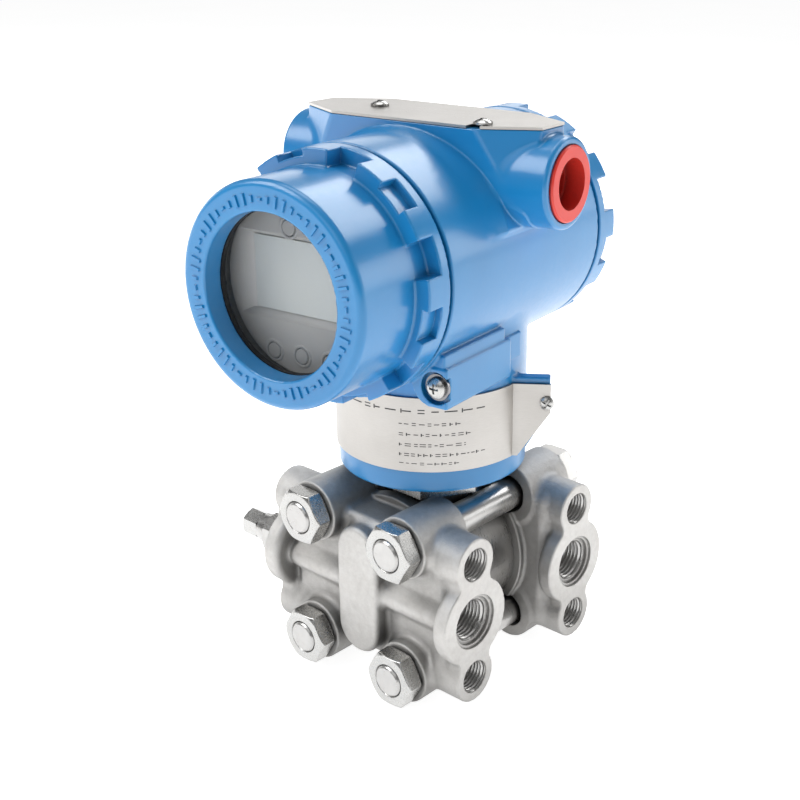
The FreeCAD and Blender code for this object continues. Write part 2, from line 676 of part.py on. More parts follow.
ear_u = Rot(V(0, 0, 1), NUM["ear_deg"]).multVec(V(1, 0, 0))
ear_at = V(32.9, 0, 0) + ear_u * 10.7
hole = doc.addObject("Part::Cylinder", "label_screw_hole")
hole.Radius = 1.3
hole.Height = 7.0
hole.Placement = Place(ear_at + ear_n * 1.0 + V(0, 0, 64.7), Rot(V(0, 0, 1), -ear_n))
housing = cut(housing, hole)
node("housing", housing, True)


# ================================================================ screwed covers
def castellate(b, side):
    """six lugs with a pocket in each, left by notches in the outer part of the rim"""
    shift = (0, DZ, D("lug_far") + 1.0) if side < 0 else (0, DZ, -(D("lug_far") + 1.0))
    deep = D("lug_far") - D("rim_far") + 1.0
    for r_in, mid, wide in ((D("cover_rad"), 17.0, 17.0), (D("lug_floor"), 47.0, 15.0)):
        s = sector(new_sketch(b, "XZ_Plane", shift), r_in, DR + 3.0, mid, wide)
        f = feature(b, "Pocket", s, Length=deep, Reversed=(side > 0))
        polar(b, f, s, 6)


CF, LP, RN = D("cover_front"), D("lip_back"), D("rim_near")
b = new_body("front_cover")
revolve(b, "YZ_Plane", [
    (-CF, D("sight_rad")), (-CF, D("face_rad")), (-CF + 0.7, D("face_rad") + 1.1), (-CF + 2.2, D("cover_rad")),
    (-D("lug_far"), D("cover_rad")), (-D("lug_far"), DR - 0.4), (-D("lug_far") + 0.4, DR), (-RN - 0.4, DR), (-RN, DR - 0.4),
    (-RN, D("spigot_rad")), (-DH + D("spigot_deep") - 0.8, D("spigot_rad")), (-DH + D("spigot_deep"), D("spigot_rad") - 0.8),
    (-DH + D("spigot_deep"), D("cover_bay")), (-LP + 2.0, D("cover_bay")), (-LP, D("cover_bay") - 0.1), (-LP, D("sight_rad"))],
    (0, DZ, 0))
castellate(b, -1)
node("front_cover", b, True)

b = new_body("rear_cover")
RF = D("rear_far")
revolve(b, "YZ_Plane", [
    (RF, 0), (RF, 28.0), (RF - 0.6, 29.6), (D("lug_far"), D("cover_rad")), (D("lug_far"), DR - 0.4), (D("lug_far") - 0.4, DR),
    (RN + 0.4, DR), (RN, DR - 0.4), (RN, D("spigot_rad")), (DH - D("spigot_deep") + 0.8, D("spigot_rad")),
    (DH - D("spigot_deep"), D("spigot_rad") - 0.8), (DH - D("spigot_deep"), D("cover_bay")),
    (RF - 5.0, D("cover_bay")), (RF - 4.0, D("cover_bay") - 1.5), (RF - 4.0, 0)], (0, DZ, 0))
castellate(b, 1)
node("rear_cover", b, True)

for label, side in (("front_cover_seal", -1), ("rear_cover_seal", 1)):
    b = new_body(label)
    lo, hi = (DH + 0.15) * side, (RN - 0.02) * side
    revolve(b, "YZ_Plane", [(lo, D("spigot_rad") + 0.05), (hi, D("spigot_rad") + 0.05), (hi, 36.6), (lo, 36.6)], (0, DZ, 0))
    node(label, b, True)

GF, GB, GR = D("glass_front"), D("glass_back"), D("glass_rad")
b = new_body("window_glass")
revolve(b, "YZ_Plane", [(-GF, 0), (-GF, GR - 0.4), (-GF + 0.4, GR), (-GB, GR), (-GB, 0)], (0, DZ, 0))
node("window_glass", b, True)
b = new_body("window_gasket")
revolve(b, "YZ_Plane", [(-LP, D("sight_rad") - 0.1), (-GF, D("sight_rad") - 0.1), (-GF, GR - 0.1), (-LP, GR - 0.1)], (0, DZ, 0))
node("window_gasket", b, True)
b = new_body("window_ring")
revolve(b, "YZ_Plane", [(-GB, 27.7), (-GB + 2.4, 27.7), (-GB + 2.4, D("cover_bay") - 0.05), (-GB, D("cover_bay") - 0.05)], (0, DZ, 0))
node("window_ring", b, True)

# ================================================================ display
BF, BM, BB = D("bezel_front"), D("bezel_mid"), D("bezel_back")
BR = D("bezel_rad")
b = new_body("display_bezel")
revolve(b, "YZ_Plane", [(-BF, 0), (-BF, BR - 0.5), (-BF + 0.5, BR), (-BM, BR), (-BM + 1.0, 28.9), (-BB, 28.9), (-BB, 0)], (0, DZ, 0))
LX, LL, LU = D("lcd_x"), D("lcd_low") - DZ, D("lcd_high") - DZ
s = outline(new_sketch(b, "XZ_Plane", (0, DZ, BF + 1.0)), [(-LX - 0.6, LL - 0.6), (LX + 0.6, LL - 0.6), (LX + 0.6, LU + 0.6), (-LX - 0.6, LU + 0.6)])
feature(b, "Pocket", s, Length=4.2)
s = new_sketch(b, "XZ_Plane", (0, DZ, BF + 1.0))
KZ = D("key_z") - DZ
for x, z in ((-D("key_pitch"), KZ), (0, KZ), (D("key_pitch"), KZ), (D("key_top_x"), D("key_top_z") - DZ)):
    hoop(s, x, z, D("key_rad") + 0.12)
feature(b, "Pocket", s, Length=6.0)
node("display_bezel", b, True)
b = new_body("lcd_panel")
s = outline(new_sketch(b, "XZ_Plane", (0, DZ, BF - 3.15)), [(-LX, LL), (LX, LL), (LX, LU), (-LX, LU)])
feature(b, "Pad", s, Length=1.6)
node("lcd_panel", b, True)
keys = (("display_key_left", -D("key_pitch"), KZ), ("display_key_mid", Q.of(0), KZ),
        ("display_key_right", D("key_pitch"), KZ), ("display_key_top", D("key_top_x"), D("key_top_z") - DZ))
for label, x, z in keys:
    key = soften(cyl(D("key_rad"), 3.4, (x, -(BF - 3.0), DZ + z), "-y"), 0.35, lambda e: e.BoundBox.YMax < -66.3)
    node(label, key, True)
node("display_board", cyl(D("board_rad"), 1.6, (0, -(BB - 2.0), DZ), "y"), True)
posts = [cyl(2.2, 3.4, (x, -(BB - 3.6), DZ + z), "y") for x, z in ((19, 12), (-19, 12), (19, -12), (-19, -12))]
posts += [cyl(2.2, 2.0, (x, -BB, DZ + z), "y") for x, z in ((19, 12), (-19, 12), (19, -12), (-19, -12))]
node("board_posts", group(*posts), True)
module = soften(cyl(D("module_rad"), D("module_front") - D("module_back"), (0, -D("module_front"), DZ), "y"), 1.5,
                lambda e: e.BoundBox.YLength < 1e-6 and e.BoundBox.YMax < -40)
module = fuse(module, box((-11, -(D("module_front") + 2.2), 96), (11, -(D("module_front") - 1.0), 102)))
node("electronics_module", module, True)

# ================================================================ terminals in the rear compartment
block = common(cyl(27.0, 16.0, (0, D("wall_a"), DZ), "y"), box((-30, -13, 84), (30, 5, 123)))
block = cut(block, box((-30, 1.0, 113.0), (30, 10, 150)), *[cyl(1.7, 8.0, (x, 4.1, 104.0), "-y") for x in (-13, 0, 13)])
node("terminal_block", block, True)
terms = []
for x in (-13, 0, 13):
    head = cut(cyl(3.6, 2.2, (x, 4.6, 104.0), "y"), box((x - 4.0, 5.8, 103.6), (x + 4.0, 7.0, 104.4)))
    terms.append(fuse(head, cyl(1.6, 6.0, (x, -1.3, 104.0), "y")))
node("terminal_screws", group(*terms), True)
node("terminal_clamps", group(*[cut(box((x - 4.4, 4.05, 99.8), (x + 4.4, 4.55, 108.2)), cyl(1.7, 2.0, (x, 3.5, 104.0), "y")) for x in (-13, 0, 13)]), True)


# ================================================================ conduit plugs
def plug(label, side):
    b = new_body(label)
    F, I = D("plug_face"), D("plug_in")
    k = float(side)
    HF = D("hub_face")
    revolve(b, "XZ_Plane", [
        (F * k, D("plug_bore")), (F * k, D("plug_rim") - 0.5), ((F - 0.5) * k, D("plug_rim")), ((HF - 1.4) * k, D("plug_rim")),
        ((HF - 1.4) * k, D("conduit_rad") - 0.06), ((I + 1.0) * k, D("conduit_rad") - 0.06), (I * k, D("conduit_rad") - 1.0), (I * k, 0),
        ((I + 2.0) * k, 0), ((I + 2.0) * k, D("plug_bore_in")), ((F - 6.5) * k, D("plug_bore_in")), ((F - 6.5) * k, D("plug_bore"))],
        (0, D("hub_z"), 0))
    node(label, b, True)


plug("conduit_plug_right", 1)
plug("conduit_plug_left", -1)

# ================================================================ top plate, its screws, push buttons
b = new_body("name_plate")
PZ = D("deck_z") + 0.1
ax, ay, bx_, by = D("deck_a_x"), D("deck_a_y"), D("deck_b_x"), D("deck_b_y")
s = outline(new_sketch(b, "XY_Plane", (0, 0, PZ)), [(ax, -ay), (bx_, -by), (bx_, by), (ax, ay), (-ax, ay), (-bx_, by), (-bx_, -by), (-ax, -ay)])
hoop(s, D("pivot_x"), D("pivot_y"), 1.35)
feature(b, "Pad", s, Length=D("plate_thick"))
s = outline(new_sketch(b, "XY_Plane", (0, 0, PZ + 2.0)), [(D("slot_lo"), -ay - 1.0), (D("slot_hi"), -ay - 1.0), (D("slot_hi"), D("clamp_y")), (D("slot_lo"), D("clamp_y"))])
feature(b, "Pocket", s, Length=3.0)
s = hoop(new_sketch(b, "XY_Plane", (0, 0, PZ + 2.0)), (D("slot_lo") + D("slot_hi")) / 2.0, D("clamp_y"), (D("slot_hi") - D("slot_lo")) / 2.0)
feature(b, "Pocket", s, Length=3.0)
node("name_plate", b, True)


def pan_screw(x, y, z, head_r, head_h, shank_r, shank):
    """pan head screw, head up: crossed recess in a domed head"""
    head = common(cyl(head_r, head_h, (x, y, z)), ball(head_r * 1.6, (x, y, Q.of(z) + (head_h - head_r * 1.6))))
    slots = [box((Q.of(x) - 1.6, Q.of(y) - 0.35, Q.of(z) + (head_h - 0.9)), (Q.of(x) + 1.6, Q.of(y) + 0.35, Q.of(z) + head_h)),
             box((Q.of(x) - 0.35, Q.of(y) - 1.6, Q.of(z) + (head_h - 0.9)), (Q.of(x) + 0.35, Q.of(y) + 1.6, Q.of(z) + head_h))]
    return cut(fuse(head, cyl(shank_r, shank + 0.5, (x, y, Q.of(z) - shank))), *slots)


HZ = PZ + D("plate_thick") + 0.1
node("pivot_screw", pan_screw(D("pivot_x"), D("pivot_y"), HZ, 3.0, 1.7, 1.25, 6.5), True)
node("clamp_screw", pan_screw(D("clamp_x"), D("clamp_y"), HZ, 3.0, 1.7, 1.25, 6.5), True)
for label, k in (("span_button", 1.0), ("zero_button", -1.0)):
    node(label, soften(cyl(D("push_rad"), 4.0, (D("push_x") * k, 0, D("deck_z") - 4.2)), 0.4, lambda e: e.BoundBox.ZMin > 154.9), True)

# ================================================================ neck plate and its screw
NR = D("neck_rad")
wrap = ring(NR + D("label_thick"), NR + 0.04, D("label_hi") - D("label_lo"), (0, 0, D("label_lo")))
back = doc.addObject("Part::Cylinder", "label_gap")
back.Radius = 50.0
back.Height = 60.0
back.Angle = 166.7
back.Placement = Place(V(0, 0, 30.0), Rot(V(0, 0, 1), -0.7))
wrap = cut(wrap, back)
ear = doc.addObject("Sketcher::SketchObject", "ear_outline")
ear.Placement = Place(V(32.9, 0, 0), Rot(V(0, 0, 1), NUM["ear_deg"]).multiply(Rot(V(1, 0, 0), 90)))
outline(ear, [(-0.8, D("label_lo")), (1.2, D("label_lo")), (D("ear_long"), D("ear_knee")), (D("ear_long"), D("label_hi")), (-0.8, D("label_hi"))])
ear_body = doc.addObject("Part::Extrusion", "ear_plate")
ear_body.Base = ear
ear_body.DirMode = "Custom"
ear_body.Dir = ear_n
ear_body.LengthFwd = 0.9
ear_body.Solid = True
ear_hole = doc.addObject("Part::Cylinder", "ear_hole")
ear_hole.Radius = 1.6
ear_hole.Height = 4.0
ear_hole.Placement = Place(ear_at + ear_n * 2.0 + V(0, 0, 64.7), Rot(V(0, 0, 1), -ear_n))
node("neck_plate", cut(fuse(wrap, ear_body), ear_hole), True)
screw = pan_screw(Q.of(0), Q.of(0), Q.of(0), 2.3, 1.4, 1.25, 5.0)
doc.recompute()
moved = doc.addObject("Part::Compound", "neck_screw_place")
moved.Links = [screw]
screw.Placement = Place(ear_at + ear_n * 0.92 + V(0, 0, 64.7), Rot(V(0, 0, 1), ear_n))
node("neck_plate_screw", moved, True)

# ================================================================ earth screw and clamp washer
EX, EY, EZ = D("earth_x"), -(D("screw_boss_y") - 2.0), D("earth_z")
washer = cut(cyl(4.2, 0.9, (EX, EY - 0.02, EZ), "-y"), cyl(1.9, 4.0, (EX, EY + 1.0, EZ), "-y"))
node("earth_washer", washer, True)
screw = pan_screw(Q.of(0), Q.of(0), Q.of(0), 3.3, 2.2, 1.8, 8.0)
screw.Placement = Place(V(NUM["earth_x"], -(NUM["screw_boss_y"] - 2.0) - 0.95, NUM["earth_z"]), Rot(V(0, 0, 1), V(0, -1, 0)))
screw.setExpression("Placement.Base.x", "dims.earth_x")
screw.setExpression("Placement.Base.z", "dims.earth_z")
moved = doc.addObject("Part::Compound", "earth_screw_place")
moved.Links = [screw]
node("earth_screw", moved, True)

# ================================================================ check and write
doc.recompute()
bad = [o.Name for o in doc.Objects if "Invalid" in o.State or "Error" in o.State]
if bad:
    raise RuntimeError("failed objects: " + ", ".join(bad))
os.makedirs("parts", exist_ok=True)
for label, obj in NODES:
    shape = obj.Shape
    if shape.isNull() or not shape.isValid():
        raise RuntimeError("bad shape: " + label)
    bb = shape.BoundBox
    print("%-22s solids %2d volume %10.1f  x %6.1f %6.1f  y %6.1f %6.1f  z %6.1f %6.1f" % (
        label, len(shape.Solids), shape.Volume, bb.XMin, bb.XMax, bb.YMin, bb.YMax, bb.ZMin, bb.ZMax))
for label, obj in NODES:
    obj.Shape.exportStep("parts/%s.step" % label)
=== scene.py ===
import math

import bpy
import numpy as np
from mathutils import Matrix, Vector


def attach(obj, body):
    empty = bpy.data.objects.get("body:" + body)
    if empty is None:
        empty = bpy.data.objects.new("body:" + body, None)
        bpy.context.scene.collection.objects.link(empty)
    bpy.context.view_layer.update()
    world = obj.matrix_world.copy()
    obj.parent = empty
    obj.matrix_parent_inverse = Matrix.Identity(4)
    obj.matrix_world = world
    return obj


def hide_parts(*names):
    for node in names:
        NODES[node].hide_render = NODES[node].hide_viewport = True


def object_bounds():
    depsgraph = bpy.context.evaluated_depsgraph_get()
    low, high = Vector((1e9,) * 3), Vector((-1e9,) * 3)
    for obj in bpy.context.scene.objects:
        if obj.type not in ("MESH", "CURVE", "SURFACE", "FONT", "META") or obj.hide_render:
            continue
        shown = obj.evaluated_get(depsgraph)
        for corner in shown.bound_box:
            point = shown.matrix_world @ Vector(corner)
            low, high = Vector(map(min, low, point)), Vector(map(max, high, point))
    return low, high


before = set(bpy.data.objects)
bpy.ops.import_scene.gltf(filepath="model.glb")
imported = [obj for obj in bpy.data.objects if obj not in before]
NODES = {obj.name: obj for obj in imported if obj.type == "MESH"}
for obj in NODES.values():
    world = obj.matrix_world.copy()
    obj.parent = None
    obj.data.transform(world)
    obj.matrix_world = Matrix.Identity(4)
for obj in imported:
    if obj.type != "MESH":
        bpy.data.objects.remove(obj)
CAD_LO, CAD_HI = [[float(c) for c in v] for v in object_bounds()]
F4 = np.float32

# ------------------------------------------------------------------ sizes in millimetres
BACK = 43.2                      # coupling face to stem axis
TURN = math.radians(7.43)        # turn of the housing on the stem
DRUM_Z, DRUM_R, DRUM_H = 113.9, 38.5, 43.6
HUB_Z, HUB_R, HUB_X = 138.9, 14.2, 50.9
DECK_Z = 155.2
CT, ST = math.cos(TURN), math.sin(TURN)


def to_row_f(p):
    """flange frame in mm to the row frame in metres"""
    q = np.array(p, float).reshape(-1, 3).copy()
    q[:, 0] -= BACK
    return q * 0.001


def to_row_h(p):
    """housing frame in mm to the row frame in metres"""
    q = np.array(p, float).reshape(-1, 3)
    return np.stack([q[:, 0] * CT - q[:, 1] * ST - BACK, q[:, 0] * ST + q[:, 1] * CT, q[:, 2]], 1) * 0.001


def dir_f(n):
    return n


def dir_h(n):
    return np.stack([n[:, 0] * CT - n[:, 1] * ST, n[:, 0] * ST + n[:, 1] * CT, n[:, 2]], 1)


# ------------------------------------------------------------------ distance fields
def hyp(a, b):
    return np.sqrt(a * a + b * b)


def uni(a, b, r=0.0):
    if r <= 0:
        return np.minimum(a, b)
    return np.maximum(r, np.minimum(a, b)) - hyp(np.maximum(r - a, 0), np.maximum(r - b, 0))


def inter(a, b, r=0.0):
    if r <= 0:
        return np.maximum(a, b)
    return np.minimum(-r, np.maximum(a, b)) + hyp(np.maximum(r + a, 0), np.maximum(r + b, 0))


def sub(a, b, r=0.0):
    return inter(a, -b, r)


def span(v, lo, hi):
    """distance to the slab lo..hi"""
    return np.abs(v - (lo + hi) * 0.5) - (hi - lo) * 0.5


def ease(t):
    t = np.clip(t, 0, 1)
    return t * t * (3 - 2 * t)


def gradient(f, p, e=0.06):
    g = np.empty(p.shape, float)
    for k in range(3):
        a, b = p.copy(), p.copy()
        a[:, k] += e
        b[:, k] -= e
        g[:, k] = (f(a[:, 0], a[:, 1], a[:, 2]).astype(float) - f(b[:, 0], b[:, 1], b[:, 2])) / (2 * e)
    n = np.linalg.norm(g, axis=1)
    n[n < 1e-9] = 1
    return g / n[:, None], n


def contour(f, lo, hi, h):
    """dual contouring: one vertex per crossed cell at the best meeting point of the surfaces there"""
    ax = [np.arange(lo[k], hi[k] + h, h).astype(F4) for k in range(3)]
    F = f(ax[0][:, None, None], ax[1][None, :, None], ax[2][None, None, :])
    F = np.broadcast_to(F, tuple(len(a) for a in ax)).astype(F4)
    S = F < 0
    c = np.zeros(tuple(n - 1 for n in S.shape), np.int8)
    for i in (0, 1):
        for j in (0, 1):
            for k in (0, 1):
                c += S[i:c.shape[0] + i, j:c.shape[1] + j, k:c.shape[2] + k]
    mixed = (c > 0) & (c < 8)
    cell = np.argwhere(mixed)
    n = len(cell)
    ident = np.full(c.shape, -1, np.int32)
    ident[mixed] = np.arange(n, dtype=np.int32)
    ata = np.zeros((n, 6))
    atb = np.zeros((n, 3))
    mass = np.zeros((n, 3))
    cnt = np.zeros(n)
    quads = []
    base = np.array(lo, float)
    for axis in range(3):
        step = [0, 0, 0]
        step[axis] = 1
        A = S[:S.shape[0] - step[0], :S.shape[1] - step[1], :S.shape[2] - step[2]]
        B = S[step[0]:, step[1]:, step[2]:]
        o1, o2 = (axis + 1) % 3, (axis + 2) % 3
        x = np.argwhere(A != B)
        keep = (x[:, o1] > 0) & (x[:, o2] > 0) & (x[:, o1] < S.shape[o1] - 1) & (x[:, o2] < S.shape[o2] - 1)
        x = x[keep]
        y = x + step
        fa = F[x[:, 0], x[:, 1], x[:, 2]].astype(float)
        fb = F[y[:, 0], y[:, 1], y[:, 2]].astype(float)
        p = base + h * x
        p[:, axis] += h * fa / (fa - fb)
        g, _ = gradient(f, p)
        inside = A[x[:, 0], x[:, 1], x[:, 2]]
        ids = []
        for d1, d2 in ((-1, -1), (0, -1), (0, 0), (-1, 0)):
            z = x.copy()
            z[:, o1] += d1
            z[:, o2] += d2
            ids.append(ident[z[:, 0], z[:, 1], z[:, 2]])
        for q in ids:
            b = (g * p).sum(1)
            for s, (u, v) in enumerate(((0, 0), (0, 1), (0, 2), (1, 1), (1, 2), (2, 2))):
                ata[:, s] += np.bincount(q, g[:, u] * g[:, v], n)
            for u in range(3):
                atb[:, u] += np.bincount(q, g[:, u] * b, n)
                mass[:, u] += np.bincount(q, p[:, u], n)
            cnt += np.bincount(q, minlength=n)
        quad = np.stack(ids, 1)
        quad[~inside] = quad[~inside][:, ::-1]
        quads.append(quad)
    cnt[cnt == 0] = 1
    mass /= cnt[:, None]
    lam = 0.05
    m = np.empty((n, 3, 3))
    for s, (u, v) in enumerate(((0, 0), (0, 1), (0, 2), (1, 1), (1, 2), (2, 2))):
        m[:, u, v] = ata[:, s]
        m[:, v, u] = ata[:, s]
    rhs = atb - np.einsum("nij,nj->ni", m, mass)
    m[:, [0, 1, 2], [0, 1, 2]] += lam
    v = mass + np.linalg.solve(m, rhs[:, :, None])[:, :, 0]
    low = base + h * cell
    v = np.clip(v, low - 0.05 * h, low + 1.05 * h)
    return v, np.concatenate(quads)


def raw_mesh(name, verts, faces):
    me = bpy.data.meshes.new(name)
    me.from_pydata(verts if isinstance(verts, list) else verts.tolist(), [], faces if isinstance(faces, list) else faces.tolist())
    return me


def corner_normals(me, f, turn, pts):
    """sets each face corner's normal from the field, taken a little inside the face"""
    n = len(me.loops)
    vi = np.empty(n, np.int32)
    me.loops.foreach_get("vertex_index", vi)
    start = np.empty(len(me.polygons), np.int32)
    total = np.empty(len(me.polygons), np.int32)
    me.polygons.foreach_get("loop_start", start)
    me.polygons.foreach_get("loop_total", total)
    fid = np.repeat(np.arange(len(start)), total)
    p = pts[vi]
    cen = np.zeros((len(start), 3))
    for k in range(3):
        cen[:, k] = np.bincount(fid, p[:, k], len(start)) / total
    d = cen[fid] - p
    ln = np.linalg.norm(d, axis=1)
    ln[ln < 1e-9] = 1
    p = p + d * (np.minimum(0.34 * ln, 0.30) / ln)[:, None]
    g, _ = gradient(f, p, 0.1)
    me.normals_split_custom_set(turn(g).tolist())


def field_piece(name, f, lo, hi, h, tris, place, turn):
    v, q = contour(f, lo, hi, h)
    me = raw_mesh(name, v, q)
    if len(q) * 2 > tris:
        tmp = bpy.data.objects.new(name + "_tmp", me)
        bpy.context.scene.collection.objects.link(tmp)
        mod = tmp.modifiers.new("d", "DECIMATE")
        mod.ratio = tris / (len(q) * 2.0)
        dg = bpy.context.evaluated_depsgraph_get()
        new = bpy.data.meshes.new_from_object(tmp.evaluated_get(dg))
        bpy.data.objects.remove(tmp)
        bpy.data.meshes.remove(me)
        me = new
        me.name = name
        v = np.empty(len(me.vertices) * 3)
        me.vertices.foreach_get("co", v)
        v = v.reshape(-1, 3)
    me.polygons.foreach_set("use_smooth", [True] * len(me.polygons))
    w = place(v)
    me.vertices.foreach_set("co", w.ravel())
    me.update()
    corner_normals(me, f, turn, v)
    ob = bpy.data.objects.new(name, me)
    bpy.context.scene.collection.objects.link(ob)
    return ob


# ------------------------------------------------------------------ housing casting
def housing_field(x, y, z):
    ax, ay = np.abs(x), np.abs(y)
    zz = z - DRUM_Z
    rho = hyp(x, zz)
    rise = np.degrees(np.arctan2(zz, ax))
    flare = np.maximum(0, 24 - np.maximum(ay, 14.5)) ** 2 / 48 * ease((rise - 13.5) / 3.5)
    drum = inter(rho - DRUM_R - flare, ay - DRUM_H, 0.6)
    wall = (ay - 16.5 + 0.162 * (DECK_Z - z)) / 1.013
    diag = 0.4817 * ax + 0.867 * ay + 0.128 * z - 47.2
    end = (ax - 45.0 + 0.1 * (DECK_Z - z)) / 1.005
    blk = inter(wall, diag, 0.7)
    blk = inter(blk, end, 0.8)
    blk = inter(blk, z - DECK_Z, 0.45)
    hubr = hyp(y, z - HUB_Z)
    blk = np.maximum(blk, np.where(z < HUB_Z, hubr - 14.4, -5.0))
    hub = inter(hubr - HUB_R, ax - HUB_X, 1.3)
    body = uni(drum, blk, 0.7)
    body = uni(body, hub, 1.3)
    nr = hyp(x, y)
    neck = inter(nr - 32.1, np.maximum(37.9 - z, z - 108.0), 1.2)
    body = uni(body, neck, 1.8)
    # boss of the earth screw, stepped along its top
    b = inter(inter(span(x, 21.9, 35.1), span(y, -42.5, -6.0), 0.8), span(z, 75.6, 88.6), 0.8)
    corner = hyp(x - 29.9, z - 83.0) - 7.4
    b = np.maximum(b, np.where((x < 29.9) & (z < 83.0), corner, -9.0))
    b2 = inter(inter(span(x, 22.5, 34.2), span(y, -42.2, -8.4), 0.7), span(z, 80.0, 92.6), 0.7)
    body = uni(body, uni(b, b2, 0.4), 0.9)
    pad = inter(inter(span(x, 20.0, 32.9), span(y, -7.0, 3.5), 0.5), span(z, 79.5, 88.0), 0.5)
    body = uni(body, pad, 0.5)
    # fin behind the ear of the neck plate
    c, s = 0.87121, 0.49090
    fs = (x - 27.0) * c + (y + 3.1) * s
    ft = -(x - 27.0) * s + (y + 3.1) * c
    fin = inter(span(ft, 0.0, 4.0), np.maximum(span(fs, -6.0, 18.3), 0.859 * (fs - 10.5) - 0.5115 * (z - 48.2)), 0.5)
    fin = inter(fin, span(z, 48.2, 73.1), 0.5)
    body = uni(body, fin, 0.8)
    # compartments, conduit bores, stem seat
    body = sub(body, np.maximum(rho - 34.9, 33.0 - ay), 0.5)
    body = sub(body, np.maximum(rho - 30.0, -span(y, -16.0, -12.0)), 0.0)
    body = sub(body, np.maximum(hubr - 10.4, ax - 60.0), 0.0)
    body = sub(body, np.maximum(hubr - 11.95, 49.4 - ax), 0.35)
    body = sub(body, np.maximum(nr - 14.05, z - 48.9), 0.3)
    body = sub(body, np.maximum(nr - 27.6, span(z, 46.5, 73.5)), 0.3)
    ex = hyp(x - 31.0, z - 82.0)
    body = sub(body, np.maximum(ex - 5.2, y + 40.4), 0.3)
    body = sub(body, np.maximum(ex - 1.85, y + 32.5), 0.0)
    for px in (5.0, -5.0):
        body = sub(body, np.maximum(hyp(x - px, y) - 3.7, 149.2 - z), 0.2)
    for px, py in ((-21.0, 1.0), (27.0, -11.3)):
        body = sub(body, np.maximum(hyp(x - px, y - py) - 1.3, 148.2 - z), 0.0)
    # screw hole of the ear
    ha = (x - 32.9 - 10.7 * c) * c + (y - 10.7 * s) * s
    hn = -(x - 32.9 - 10.7 * c) * s + (y - 10.7 * s) * c
    body = sub(body, np.maximum(hyp(ha, z - 64.7) - 1.3, hn - 6.0), 0.0)
    return body


# ------------------------------------------------------------------ screwed covers
def lugged_rim(rho, ang, u):
    rim = inter(rho - DRUM_R, span(u, 45.2, 55.5), 0.5)
    a = np.radians(np.abs((ang - 17.0 + 30.0) % 60.0 - 30.0) - 8.5)
    rim = sub(rim, np.maximum(np.maximum(rho * np.sin(a), 49.0 - u), 33.0 - rho), 0.45)
    a = np.radians(np.abs((ang - 47.0 + 30.0) % 60.0 - 30.0) - 7.5)
    return sub(rim, np.maximum(np.maximum(rho * np.sin(a), 49.0 - u), 36.2 - rho), 0.4)


def front_cover_field(x, y, z):
    zz = z - DRUM_Z
    rho = hyp(x, zz)
    ang = np.degrees(np.arctan2(zz, x))
    u = -y
    body = inter(rho - 33.4, span(u, 45.2, 79.25), 2.2)
    body = uni(body, lugged_rim(rho, ang, u), 0.8)
    spigot = inter(rho - 34.8, span(u, 34.6, 46.0), 0.6)
    body = uni(body, spigot, 0.0)
    body = sub(body, np.maximum(rho - 29.9, u - 72.4), 0.3)
    return sub(body, rho - 24.4, 0.7)


def rear_cover_field(x, y, z):
    zz = z - DRUM_Z
    rho = hyp(x, zz)
    ang = np.degrees(np.arctan2(zz, x))
    body = inter(rho - 33.4, span(y, 45.2, 58.6), 0.8)
    body = inter(body, 0.835 * (y - 58.0) + 0.55 * (rho - 29.6), 1.0)
    body = uni(body, lugged_rim(rho, ang, y), 0.8)
    body = uni(body, inter(rho - 34.8, span(y, 34.6, 46.0), 0.6), 0.0)
    return sub(body, np.maximum(rho - 29.9, y - 54.6), 0.5)


# ------------------------------------------------------------------ process flanges
def flange_field(bolt_hole):
    def f(x, y, z):
        v = np.abs(y)
        ax, az = np.abs(x), np.abs(z)
        # web, its ends drawn in behind the end lobes
        web = inter(span(v, 17.5, 33.0), ax - 36.0 + 0.0 * z, 3.0)
        web = inter(web, az - 25.0, 2.6)
        br = hyp(ax - 20.7, az - 23.1)
        boss = inter(br - 10.7, span(v, 17.0, 38.2), 0.7)
        pz = np.maximum(az - 13.95, 0)
        pad = inter(hyp(x, pz) - 9.35, span(v, 17.5, 38.4), 1.6)
        ridge = inter(hyp(z, v - 31.8) - 4.7, ax - 36.0, 2.0)
        vv = v - 27.0
        big = inter(inter(hyp(vv, z) - 15.0, 36.9 - ax, 2.6), ax - BACK, 0.7)
        small = hyp(vv, az - 20.65)
        small = inter(inter(small - 8.8, 29.0 - ax, 4.0), ax - BACK, 0.7)
        lobes = uni(big, small, 3.4)
        lobes = np.maximum(lobes, ax - BACK)
        rim = inter(hyp(x, z) - 28.0, span(v, 15.0, 20.0), 0.6)
        core = uni(web, boss, 2.2)
        core = uni(core, pad, 1.6)
        core = uni(core, ridge, 2.2)
        core = uni(core, lobes, 2.6)
        core = uni(core, rim, 1.2)
        # machined: spot faces, ports, bolt holes
        core = sub(core, np.maximum(br - 10.2, 38.2 - v), 0.0)
        core = sub(core, br - bolt_hole, 0.3)
        side = x > 0
        tr = hyp(vv, az - 20.65)
        tap = np.maximum(tr - 5.55, 30.2 - x)
        core = sub(core, tap, 0.5)
        pr = hyp(vv, z)
        core = sub(core, np.maximum(pr - 9.3, 42.3 - x), 0.25)
        core = sub(core, np.maximum(pr - 8.3, 41.1 - x), 0.3)
        core = sub(core, np.maximum(pr - 7.15, 27.2 - x), 0.15)
        core = sub(core, np.maximum(pr - 6.42, x + 29.2), 0.4)
        core = sub(core, np.maximum(pr - 3.0, ax - 33.2), 0.0)
        core = sub(core, np.maximum(hyp(x, z) - 3.0, span(v, 10.0, 27.0)), 0.0)
        return sub(core, np.maximum(hyp(x, z) - 20.0, v - 16.6), 0.2)
    return f


# ------------------------------------------------------------------ tie bolts and nuts, four at once
def hexagon(a, b, flats):
    """flats on the +-b sides"""
    return np.maximum(np.abs(b), np.maximum(np.abs(0.8660254 * a + 0.5 * b), np.abs(0.8660254 * a - 0.5 * b))) - flats / 2


